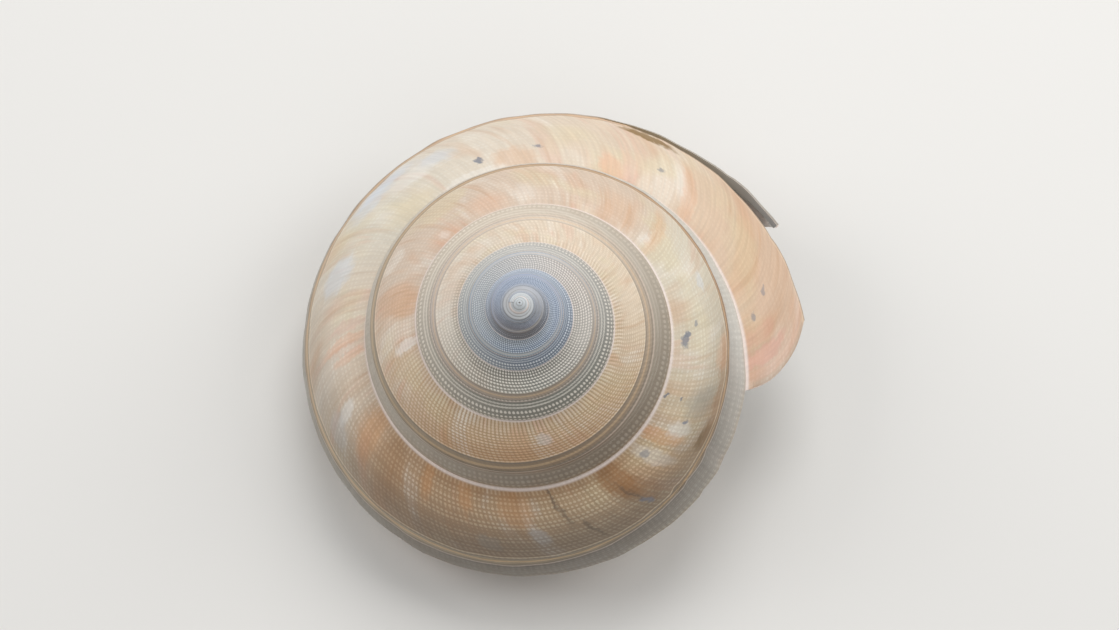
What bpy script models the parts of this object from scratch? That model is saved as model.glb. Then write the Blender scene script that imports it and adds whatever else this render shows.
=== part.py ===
"""Slit shell: one hollow, right-handed coiled shell, lying on its base with the spire up.

The shell grows clockwise as seen from the spire.  A place along the coil is a "station": whorls
counted from the lip, 0 where the lip meets the seam and -1 one full turn earlier.  Across the
whorl, the wall is a chain of rows that runs from the seam out over the shoulder, the slit band and
the periphery, and then in over the base to the columella.  Lengths are in millimetres until the
mesh is made.  Before the shell is laid down its axis is vertical, with the spire's tip at zero.
"""
import math

import bmesh
import bpy
import numpy as np
from mathutils import Matrix, Vector

MM = 0.001
MERGE = 0.000001

# The coil.
COLUMNS = 44                            # stations in one whorl
SPIRE_COLUMNS = 286                     # from the spire's tip to the lip, 6.5 whorls
HOLLOW_COLUMNS = 110                    # how far back from the lip the hollow runs
LIP_AZIMUTH = math.radians(100.2)       # where the lip meets the seam, clockwise from +Y
SEAM_RADIUS = 32.16                     # from the axis to the seam at the lip
SEAM_GROWTH = (0.272, -0.0923, -0.0083) # logarithm of the seam's radius, as powers of the station
SEAM_FLARE = 0.087                      # the seam swings out by this share at the lip
FLARE_WHORLS = 0.12
SPIRE_SLOPE = 0.895                     # depth below the tip over radius, on the early whorls
LAST_DROP = 0.234                       # what the last whorl adds to that slope
DROP_RATE = 1.67

# The wall's section, as shares of the seam's radius at the same station.
BAND_RADIUS = 1.448                     # middle of the slit band, from the axis
SHOULDER_SLOPE = math.radians(39.0)     # of the chord from the seam to the band
SEAM_ANGLE = math.radians(24.0)         # how steeply the wall leaves the seam
BAND_ANGLE = math.radians(61.0)         # how steeply it crosses the band
BAND_WIDTH = 0.060
PERIPHERY_OUT = 0.066                   # widest point, outwards from the band
PERIPHERY_DROP = 0.26                   # and downwards
BASE_RADIUS = 0.85                      # lowest point of the base
BASE_DROP = 0.38                        # below the widest point
COLUMELLA_RADIUS = 0.14
COLUMELLA_RISE = 0.42                   # from the lowest point up to the columella's foot

# The wall, the slit and the lip.
WALL = 1.5                              # thickness at the lip
SLIT_COLUMNS = 8                        # length of the slit
GAPE = 0.045                            # how far the slit's lower edge swings out at the lip
GAPE_START = 0.205                      # whorls behind the lip where it starts to swing out
GAPE_RUN = 0.11
GAPE_END = 9                            # first row that doesn't swing out
LIP_REACH = 0.45                        # whorls over which the rows swing round to the lip's line
LIP_LINE = (                            # how far behind the seam the lip's edge is, by row
    0.000, -0.012, -0.030, -0.055,      # seam, shoulder, shoulder, upper edge of the slit
    -0.117, -0.120, -0.123,             # lower edge of the slit, bulge, periphery
    -0.128, -0.132, -0.145, -0.158,     # under the periphery to the outer base
    -0.165, -0.165, -0.140, -0.080,     # lowest row, inner base, foot of the columella
)
BAND_TOP = 3                            # rows of the slit band's two edges
BAND_FOOT = 4
SEAT = 7                                # row on which the next whorl's seam sits
ROOF = 8                                # first row that roofs the next whorl's hollow
LAST_ROW = len(LIP_LINE) - 1

# How the shell lies.
LEAN = math.radians(15.4)               # of the axis, from the vertical
LEAN_AZIMUTH = math.radians(197.2)      # towards which the spire's tip leans, clockwise from +Y


def clear_scene():
    """Remove every object, so that only the shell is left at the end."""
    for leftover in list(bpy.data.objects):
        bpy.data.objects.remove(leftover, do_unlink=True)


def ramp(value):
    """Smooth rise from 0 to 1 as the value goes from 0 to 1."""
    value = min(max(value, 0.0), 1.0)
    return value * value * (3.0 - 2.0 * value)


def heading(angle):
    """Unit vector that points down a slope of the given angle, as (outwards, upwards)."""
    return np.array((math.cos(angle), -math.sin(angle)))


def hermite(start, end, leave, arrive, share):
    """Point on the cubic between two points with the given end tangents."""
    square = share * share
    cube = square * share
    return (
        (2.0 * cube - 3.0 * square + 1.0) * start
        + (cube - 2.0 * square + share) * leave
        + (3.0 * square - 2.0 * cube) * end
        + (cube - square) * arrive
    )


def seam_size(station):
    """Radius of the seam without its flare, which is the measure of the whole section."""
    first, second, third = SEAM_GROWTH
    return SEAM_RADIUS * math.exp(station * (first + station * (second + station * third)))


def seam_height(station):
    """Height of the seam, downwards from the tip of the spire."""
    return -seam_size(station) * (SPIRE_SLOPE + LAST_DROP * math.exp(DROP_RATE * station))


def seam_flare(station):
    """How far the seam swings out from the coil near the lip."""
    return seam_size(station) * SEAM_FLARE * math.exp(station / FLARE_WHORLS)


def seam(station):
    """Point of the seam in the half-plane through the axis, as (radius, height)."""
    return np.array((seam_size(station) + seam_flare(station), seam_height(station)))


def free_section(station):
    """The wall's outer line before it is drawn to the next whorl's seam, one point for each row."""
    size = seam_size(station)
    top = seam(station)
    band_fall = (BAND_RADIUS - 1.0) * math.tan(SHOULDER_SLOPE)
    band = np.array((BAND_RADIUS * size, seam_height(station) - band_fall * size))
    edge = band + size * np.array((PERIPHERY_OUT, -PERIPHERY_DROP))
    base = np.array((BASE_RADIUS * size, edge[1] - BASE_DROP * size))
    foot = np.array((COLUMELLA_RADIUS * size, base[1] + COLUMELLA_RISE * size))
    straight_down = np.array((0.0, -1.0))
    inward = np.array((-1.0, 0.0))

    chord = np.linalg.norm(band - top)
    across = heading(BAND_ANGLE)
    points = [top]
    for share in (0.33, 0.66):
        points.append(hermite(top, band, heading(SEAM_ANGLE) * chord, across * chord, share))
    points.append(band - across * 0.5 * BAND_WIDTH * size)
    points.append(band + across * 0.5 * BAND_WIDTH * size)

    drop = np.linalg.norm(edge - band)
    points.append(hermite(band, edge, across * drop, straight_down * drop, 0.62))
    points.append(edge)

    leave = straight_down * 1.5 * (edge[1] - base[1])
    arrive = inward * 1.4 * (edge[0] - base[0])
    for share in (0.15, 0.24, 0.44, 0.7):
        points.append(hermite(edge, base, leave, arrive, share))
    points.append(base)

    reach = base[0] - foot[0]
    rise = np.array((-0.45, 1.1)) * reach
    for share in (0.38, 0.72):
        points.append(hermite(base, foot, inward * 0.7 * reach, rise, share))
    points.append(foot)

    points = np.array(points)
    gape = GAPE * size * ramp((station + GAPE_START) / GAPE_RUN)
    for row in range(BAND_FOOT, GAPE_END):
        points[row, 0] += gape * ramp((GAPE_END - row) / (GAPE_END - BAND_FOOT))
    return points


def section(station):
    """The wall's outer line at a station: (radius, height) of each row from seam to columella.

    Up to one whorl before the lip, the seat row is drawn onto the seam of the next whorl.  Where
    that seam swings out, only the rows under the slit band follow it.
    """
    points = free_section(station)
    covered = min(station, -1.0)
    fade = seam_size(station) / seam_size(covered) * ramp((-0.75 - station) / 0.25)
    flare = np.array((seam_flare(covered + 1.0), 0.0)) * fade
    pull = (seam(covered + 1.0) - free_section(covered)[SEAT]) * fade - flare
    for row in range(LAST_ROW + 1):
        if row <= SEAT:
            share = ramp(row / SEAT)
            flare_share = ramp((row - BAND_FOOT) / (SEAT - BAND_FOOT))
        else:
            share = (LAST_ROW - row) / (LAST_ROW - SEAT)
            flare_share = share
        points[row] += pull * share + flare * flare_share
    return points


def inner_section(station):
    """The wall's inner line, which starts on the outside of the whorl above."""
    outer = section(station)
    wall = WALL * seam_size(station) / SEAM_RADIUS
    inner = outer.copy()
    for row in range(1, LAST_ROW):
        along = outer[row + 1] - outer[row - 1]
        along /= np.linalg.norm(along)
        inner[row] += wall * np.array((along[1], -along[0]))
    inner[0] = section(station - 1.0)[ROOF]
    inner[LAST_ROW] += np.array((0.0, 1.4 * wall))
    return inner


def place(station, point):
    """Turn a (radius, height) point at a station into a position in metres."""
    azimuth = LIP_AZIMUTH + 2.0 * math.pi * station
    radius, height = point
    east = radius * math.sin(azimuth)
    north = radius * math.cos(azimuth)
    return Vector((east, north, height)) * MM


def swung(station, row):
    """Station of a row once the rows near the lip have swung round to the lip's line."""
    return station + LIP_LINE[row] * ramp(1.0 + station / LIP_REACH)


def outer_point(column, row):
    station = swung(column / COLUMNS, row)
    return place(station, section(station)[row])


def inner_point(column, row):
    station = swung(column / COLUMNS, row)
    return place(station, inner_section(station)[row])


def roof_point(column, row):
    """Point of the whorl above, where it is the roof of the hollow at this column."""
    station = column / COLUMNS
    return place(station, section(station - 1.0)[row])


def skin(bm, chains, skip=None):
    """Join neighbouring chains of positions with four-sided faces, and return the vertices."""
    grid = [[bm.verts.new(position) for position in chain] for chain in chains]
    for column in range(len(grid) - 1):
        for row in range(len(grid[column]) - 1):
            if skip and skip(column, row):
                continue
            bm.faces.new((
                grid[column][row], grid[column + 1][row],
                grid[column + 1][row + 1], grid[column][row + 1],
            ))
    return grid


def fan(bm, tip, chain, closing):
    """Close a turn of the coil with a fan from a tip, and the step at its ends with one face."""
    centre = bm.verts.new(tip)
    rim = [bm.verts.new(position) for position in chain]
    for first, second in zip(rim, rim[1:]):
        bm.faces.new((centre, first, second))
    bm.faces.new([centre] + [bm.verts.new(position) for position in closing])


def in_slit(column, row, first_column):
    return row == BAND_TOP and first_column + column >= -SLIT_COLUMNS


def add_outside(bm):
    """The spire's visible whorls, then the whole of the last whorl with its slit."""
    spire = [
        [outer_point(column, row) for row in range(SEAT + 1)]
        for column in range(-SPIRE_COLUMNS, -COLUMNS + 1)
    ]
    skin(bm, spire)
    last = [
        [outer_point(column, row) for row in range(LAST_ROW + 1)]
        for column in range(-COLUMNS, 1)
    ]
    skin(bm, last, skip=lambda column, row: in_slit(column, row, -COLUMNS))


def add_hollow(bm):
    """The coiled hollow: the wall's inner face, the columella and the roof above."""
    rings = []
    for column in range(-HOLLOW_COLUMNS, 1):
        ring = [inner_point(column, row) for row in range(LAST_ROW + 1)]
        ring += [roof_point(column, row) for row in range(LAST_ROW, ROOF - 1, -1)]
        rings.append(ring)
    skin(bm, rings, skip=lambda column, row: in_slit(column, row, -HOLLOW_COLUMNS))
    centre = sum(rings[0], Vector()) / len(rings[0])
    end = [bm.verts.new(position) for position in rings[0]]
    middle = bm.verts.new(centre)
    for first, second in zip(end, end[1:]):
        bm.faces.new((middle, first, second))


def add_lip(bm):
    """The edge of the lip, and the edges of the slit that runs back from it."""
    for rows in (range(0, BAND_TOP + 1), range(BAND_FOOT, LAST_ROW + 1)):
        skin(bm, [[outer_point(0, row) for row in rows], [inner_point(0, row) for row in rows]])
    slit = range(-SLIT_COLUMNS, 1)
    for row in (BAND_TOP, BAND_FOOT):
        skin(bm, [
            [outer_point(column, row) for column in slit],
            [inner_point(column, row) for column in slit],
        ])
    skin(bm, [
        [point(-SLIT_COLUMNS, row) for row in (BAND_TOP, BAND_FOOT)]
        for point in (outer_point, inner_point)
    ])


def add_ends(bm):
    """The tip of the spire, and the middle of the base round the columella."""
    start = -SPIRE_COLUMNS
    first_turn = [outer_point(column, 0) for column in range(start, start + COLUMNS + 1)]
    step = [outer_point(start, row) for row in range(SEAT + 1)]
    fan(bm, Vector((0.0, 0.0, 0.0)), first_turn, step)

    last_turn = [outer_point(column, LAST_ROW) for column in range(-COLUMNS, 1)]
    heel = [outer_point(0, LAST_ROW), inner_point(0, LAST_ROW), roof_point(0, LAST_ROW)]
    centre = Vector((0.0, 0.0, 0.5 * (heel[0].z + heel[2].z)))
    fan(bm, centre, last_turn, heel)


def lay_down(bm):
    """Lean the shell as it rests, and set it on the ground over the middle of its outline."""
    lean_axis = Vector((math.cos(LEAN_AZIMUTH), -math.sin(LEAN_AZIMUTH), 0.0))
    lean = Matrix.Rotation(-LEAN, 3, lean_axis)
    bmesh.ops.rotate(bm, cent=(0.0, 0.0, 0.0), matrix=lean, verts=bm.verts)
    corners = np.array([vertex.co for vertex in bm.verts])
    low = corners.min(axis=0)
    high = corners.max(axis=0)
    offset = Vector((-(low[0] + high[0]) / 2.0, -(low[1] + high[1]) / 2.0, -low[2]))
    bmesh.ops.translate(bm, vec=offset, verts=bm.verts)


def shell_material():
    """Porcelain-like cream and tan shell."""
    material = bpy.data.materials.new("shell")
    material.use_nodes = True
    shader = material.node_tree.nodes["Principled BSDF"]
    shader.inputs["Base Color"].default_value = (0.60, 0.42, 0.26, 1.0)
    shader.inputs["Roughness"].default_value = 0.45
    shader.inputs["Metallic"].default_value = 0.0
    return material


def make_shell():
    bm = bmesh.new()
    add_outside(bm)
    add_hollow(bm)
    add_lip(bm)
    add_ends(bm)
    bmesh.ops.remove_doubles(bm, verts=bm.verts, dist=MERGE)
    bmesh.ops.recalc_face_normals(bm, faces=bm.faces)
    lay_down(bm)
    mesh = bpy.data.meshes.new("shell")
    bm.to_mesh(mesh)
    bm.free()
    mesh.shade_smooth()
    mesh.set_sharp_from_angle(angle=math.radians(50.0))
    mesh.materials.append(shell_material())
    shell = bpy.data.objects.new("shell", mesh)
    bpy.context.scene.collection.objects.link(shell)
    return shell


clear_scene()
make_shell()
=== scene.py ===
"""Looks of the slit shell: its coiled wall, sculpture, mouth and finish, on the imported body.

The shell grows clockwise as seen from the spire.  A place along the coil is a "station": whorls
counted from the lip, 0 at the lip and -1 one full turn earlier.  Across the whorl, a "row" runs
from 0 at the seam over the shoulder, 3 and 4 at the edges of the slit band, 6 at the periphery and
11 at the lowest line of the base, to 14 at the foot of the columella.  Lengths are in metres.
"""
import logging
import math
from dataclasses import dataclass, field
from enum import Enum

import bpy
import numpy as np
from mathutils import Matrix, Vector


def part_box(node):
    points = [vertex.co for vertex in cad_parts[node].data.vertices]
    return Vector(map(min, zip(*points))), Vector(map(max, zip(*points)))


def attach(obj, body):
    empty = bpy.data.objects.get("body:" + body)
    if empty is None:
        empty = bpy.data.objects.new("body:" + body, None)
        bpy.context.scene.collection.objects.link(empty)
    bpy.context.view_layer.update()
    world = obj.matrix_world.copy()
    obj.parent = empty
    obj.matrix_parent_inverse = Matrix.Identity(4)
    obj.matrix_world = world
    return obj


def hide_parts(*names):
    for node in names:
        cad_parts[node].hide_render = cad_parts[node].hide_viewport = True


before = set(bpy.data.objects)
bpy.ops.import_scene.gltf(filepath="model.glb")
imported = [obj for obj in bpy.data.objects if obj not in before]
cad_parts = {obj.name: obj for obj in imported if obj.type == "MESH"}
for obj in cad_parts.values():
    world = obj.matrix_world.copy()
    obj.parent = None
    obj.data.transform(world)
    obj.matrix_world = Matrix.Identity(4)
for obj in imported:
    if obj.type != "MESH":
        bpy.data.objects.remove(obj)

log = logging.getLogger("slit shell")
MM = 0.001
TURN = 2.0 * math.pi
CLOSE = 1e-9  # whorls within which two stations are the same
Array = np.ndarray
Points = tuple[Array, Array]  # positions, and the four finish coordinates of each
Material, Socket = bpy.types.Material, bpy.types.NodeSocket
Stops = tuple[tuple[float, str], ...]


class Row(float, Enum):
    """Lines across the whorl that the model is hung on."""

    SEAM = 0.0
    BAND_TOP = 3.0
    BAND_FOOT = 4.0
    PERIPHERY = 6.0
    SEAT = 7.0
    ROOF = 8.0
    BASE = 11.0
    FOOT = 14.0


class Layer(int, Enum):
    """The layers of the wall, as material slots of the shell's mesh."""

    PORCELAIN = 0
    NACRE = 1
    EDGE = 2


def ramp(value: Array) -> Array:
    """Smooth rise from 0 to 1 as the value goes from 0 to 1."""
    value = np.clip(value, 0.0, 1.0)
    return value * value * (3.0 - 2.0 * value)


def window(value: Array, low: float, high: float, soft: float) -> Array:
    """1 between low and high and 0 outside, with smooth flanks of the given width."""
    return ramp((value - low) / soft + 0.5) * ramp((high - value) / soft + 0.5)


def heading(angle: float) -> Array:
    """Unit vector that points down a slope of the given angle, as (outwards, upwards)."""
    return np.array((math.cos(angle), -math.sin(angle)))


def hermite(start: Array, end: Array, leave: Array, arrive: Array, share: Array) -> Array:
    """Points on the cubic between two points with the given end tangents.

    Args:
        start: First point of each curve, (..., 2).
        end: Last point of each curve.
        leave: Tangent at the first point.
        arrive: Tangent at the last point.
        share: How far along each curve, 0 to 1, (...).

    Returns:
        The points, (..., 2).
    """
    share = share[..., None]
    square = share * share
    cube = square * share
    return (
        (2.0 * cube - 3.0 * square + 1.0) * start
        + (cube - 2.0 * square + share) * leave
        + (3.0 * square - 2.0 * cube) * end
        + (cube - square) * arrive
    )


def even_spline(values: tuple[float, ...], place: Array) -> Array:
    """Smooth line through values that stand at 0, 1, 2 and so on.

    Args:
        values: The values to pass through.
        place: Where to read the line.

    Returns:
        The line's height at each place.
    """
    heights = np.array(values)[:, None]
    slopes = np.gradient(heights, axis=0)
    left = np.clip(np.floor(place).astype(int), 0, len(values) - 2)
    share = np.clip(place - left, 0.0, 1.0)
    curve = hermite(heights[left], heights[left + 1], slopes[left], slopes[left + 1], share)
    return curve[..., 0]


@dataclass
class Coil:
    """The law by which the shell grew: its seam, its section, its lip and how it lies.

    Sizes with no unit are shares of the seam's radius at the same station.
    """

    low: Vector
    high: Vector
    width_to_seam: float = 2.667
    growth: tuple[float, float, float] = (0.272, -0.0923, -0.0083)
    flare: float = 0.087
    flare_whorls: float = 0.12
    spire_slope: float = 0.895
    last_drop: float = 0.234
    drop_rate: float = 1.67
    band_radius: float = 1.448
    shoulder_slope: float = math.radians(39.0)
    seam_angle: float = math.radians(24.0)
    band_angle: float = math.radians(61.0)
    band_width: float = 0.060
    periphery_out: float = 0.066
    periphery_drop: float = 0.26
    base_radius: float = 0.85
    base_drop: float = 0.38
    columella_radius: float = 0.14
    columella_rise: float = 0.42
    gape: float = 0.045
    gape_start: float = 0.205
    gape_run: float = 0.11
    gape_end: float = 9.0
    wall: float = 1.5 * MM
    lip_wall: float = 0.65 * MM
    lip_azimuth: float = math.radians(100.2)
    lip_reach: float = 0.45
    shoulder_lip: tuple[float, ...] = (0.0, -0.014, -0.034, -0.057)
    lower_lip: tuple[float, ...] = (
        -0.117, -0.120, -0.123, -0.128, -0.132, -0.145, -0.158, -0.165, -0.165, -0.140, -0.080,
    )
    lean: float = math.radians(15.4)
    lean_azimuth: float = math.radians(197.2)
    seam_radius: float = field(init=False)
    laid: Array = field(init=False)
    offset: Array = field(init=False)

    def __post_init__(self) -> None:
        """Work out the seam's radius and the place of the spire's tip from the body's box."""
        self.seam_radius = (self.high.x - self.low.x) / self.width_to_seam
        axis = Vector((math.cos(self.lean_azimuth), -math.sin(self.lean_azimuth), 0.0))
        self.laid = np.array(Matrix.Rotation(-self.lean, 3, axis))
        self.offset = np.zeros(3)
        rows = np.linspace(Row.SEAM, Row.FOOT, 71)
        stations, rows = np.meshgrid(np.linspace(-1.0, 0.0, 89), rows)
        stations = self.swung(stations, rows)
        outline = self.place(stations, self.section(stations, rows))
        low, high = outline.min(axis=(0, 1)), outline.max(axis=(0, 1))
        middle = np.array((self.low + self.high) / 2.0)
        self.offset = middle - (low + high) / 2.0
        self.offset[2] = self.low.z - low[2]

    def size(self, station: Array) -> Array:
        """Radius of the seam without its flare, which is the measure of the whole section."""
        first, second, third = self.growth
        power = station * (first + station * (second + station * third))
        return self.seam_radius * np.exp(power)

    def seam_height(self, station: Array) -> Array:
        """Height of the seam, downwards from the tip of the spire."""
        drop = self.last_drop * np.exp(self.drop_rate * station)
        return -self.size(station) * (self.spire_slope + drop)

    def seam_flare(self, station: Array) -> Array:
        """How far the seam swings out from the coil near the lip."""
        return self.size(station) * self.flare * np.exp(station / self.flare_whorls)

    def seam(self, station: Array) -> Array:
        """Points of the seam in the half-plane through the axis, as (radius, height)."""
        radius = self.size(station) + self.seam_flare(station)
        return np.stack((radius, self.seam_height(station)), axis=-1)

    def free_section(self, station: Array, row: Array) -> Array:
        """The wall's outer line before it is drawn to the next whorl's seam.

        Args:
            station: Stations of the points.
            row: Rows of the points, in the same shape.

        Returns:
            The points as (radius, height), (..., 2).
        """
        size = self.size(station)[..., None]
        top = self.seam(station)
        fall = (self.band_radius - 1.0) * math.tan(self.shoulder_slope)
        middle = np.concatenate((0.0 * size, self.seam_height(station)[..., None]), axis=-1)
        band = middle + size * np.array((self.band_radius, -fall))
        edge = band + size * np.array((self.periphery_out, -self.periphery_drop))
        across = heading(self.band_angle)
        band_top = band - size * 0.5 * self.band_width * across
        band_foot = band + size * 0.5 * self.band_width * across
        base = edge * np.array((0.0, 1.0)) + size * np.array((self.base_radius, -self.base_drop))
        foot = base * np.array((0.0, 1.0))
        foot = foot + size * np.array((self.columella_radius, self.columella_rise))
        down = np.array((0.0, -1.0))
        inward = np.array((-1.0, 0.0))

        chord = np.linalg.norm(band - top, axis=-1, keepdims=True)
        share = np.interp(row, (0.0, 1.0, 2.0, 3.0), (0.0, 0.34, 0.68, 1.0))
        leave = chord * heading(self.seam_angle)
        shoulder = hermite(top, band_top, leave, chord * across, share)

        on_band = band_top + (band_foot - band_top) * (row - Row.BAND_TOP)[..., None]

        drop = np.linalg.norm(edge - band_foot, axis=-1, keepdims=True)
        share = np.interp(row, (4.0, 5.0, 6.0), (0.0, 0.58, 1.0))
        side = hermite(band_foot, edge, drop * across, drop * down, share)

        leave = down * 1.5 * (edge - base)[..., 1:]
        arrive = inward * 1.4 * (edge - base)[..., :1]
        share = np.interp(row, (6.0, 7.0, 8.0, 9.0, 10.0, 11.0), (0.0, 0.15, 0.24, 0.44, 0.7, 1.0))
        outer_base = hermite(edge, base, leave, arrive, share)

        reach = (base - foot)[..., :1]
        share = np.interp(row, (11.0, 12.0, 13.0, 14.0), (0.0, 0.38, 0.72, 1.0))
        rise = reach * np.array((-0.45, 1.1))
        inner_base = hermite(base, foot, inward * 0.7 * reach, rise, share)

        points = inner_base
        for last, part in (
            (Row.BASE, outer_base), (Row.PERIPHERY, side), (Row.BAND_FOOT, on_band),
            (Row.BAND_TOP, shoulder),
        ):
            points = np.where((row <= last)[..., None], part, points)
        gape = self.gape * size[..., 0] * ramp((station + self.gape_start) / self.gape_run)
        below = (self.gape_end - row) / (self.gape_end - Row.BAND_FOOT)
        gape = gape * ramp(below) * np.clip(row - Row.BAND_TOP, 0.0, 1.0)
        return points + gape[..., None] * np.array((1.0, 0.0))

    def section(self, station: Array, row: Array) -> Array:
        """The wall's outer line, drawn so that the seat lies on the next whorl's seam.

        Args:
            station: Stations of the points.
            row: Rows of the points, in the same shape.

        Returns:
            The points as (radius, height), (..., 2).
        """
        points = self.free_section(station, row)
        covered = np.minimum(station, -1.0)
        seat = self.free_section(covered, np.full_like(covered, Row.SEAT))
        fade = self.size(station) / self.size(covered) * ramp((-0.75 - station) / 0.25)
        flare = (self.seam_flare(covered + 1.0) * fade)[..., None] * np.array((1.0, 0.0))
        pull = (self.seam(covered + 1.0) - seat) * fade[..., None] - flare
        below = (Row.FOOT - row) / (Row.FOOT - Row.SEAT)
        share = np.where(row <= Row.SEAT, ramp(row / Row.SEAT), below)[..., None]
        side = ramp((row - Row.BAND_FOOT) / (Row.SEAT - Row.BAND_FOOT))
        flare_share = np.where(row <= Row.SEAT, side, below)[..., None]
        return points + pull * share + flare * flare_share

    def outward(self, station: Array, row: Array) -> Array:
        """Unit vectors that point out of the wall in the half-plane through the axis."""
        step = 0.02
        ahead = self.section(station, np.minimum(row + step, Row.FOOT))
        behind = self.section(station, np.maximum(row - step, Row.SEAM))
        along = ahead - behind
        along /= np.linalg.norm(along, axis=-1, keepdims=True)
        return np.stack((-along[..., 1], along[..., 0]), axis=-1)

    def lip_line(self, row: Array) -> Array:
        """How far behind the seam the lip's edge is, in whorls, at each row."""
        upper = even_spline(self.shoulder_lip, row)
        lower = even_spline(self.lower_lip, row - Row.BAND_FOOT)
        share = np.clip(row - Row.BAND_TOP, 0.0, 1.0)
        return upper + (lower - upper) * share

    def swung(self, station: Array, row: Array) -> Array:
        """Station of a point once the rows near the lip have swung round to the lip's line."""
        return station + self.lip_line(row) * ramp(1.0 + station / self.lip_reach)

    def inner_section(self, station: Array, row: Array, lip: Array, above: Array) -> Array:
        """The wall's inner line, which starts on the outside of the whorl above.

        Args:
            station: Stations of the points.
            row: Rows of the points.
            lip: 1 at the lip's edge, where the wall is thin, and 0 away from it.
            above: Where the line starts on the whorl above, (radius, height).

        Returns:
            The points as (radius, height), (..., 2).
        """
        thick = self.wall * self.size(station) / self.seam_radius
        wall = (thick + (self.lip_wall - thick) * lip)[..., None]
        foot = ramp((row - 12.8) / 1.2)[..., None]
        inwards = -self.outward(station, row) * (1.0 - foot) + np.array((0.0, 1.4)) * foot
        start = np.zeros_like(row)
        first = self.section(station, start) - wall * self.outward(station, start)
        pull = (above - first) * (1.0 - ramp(row / 1.2))[..., None]
        return self.section(station, row) + wall * inwards + pull

    def place(self, station: Array, point: Array) -> Array:
        """Positions of (radius, height) points at their stations, on the shell as it lies."""
        azimuth = self.lip_azimuth + TURN * station
        radius, height = point[..., 0], point[..., 1]
        upright = np.stack((radius * np.sin(azimuth), radius * np.cos(azimuth), height), axis=-1)
        return upright @ self.laid.T + self.offset


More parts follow.
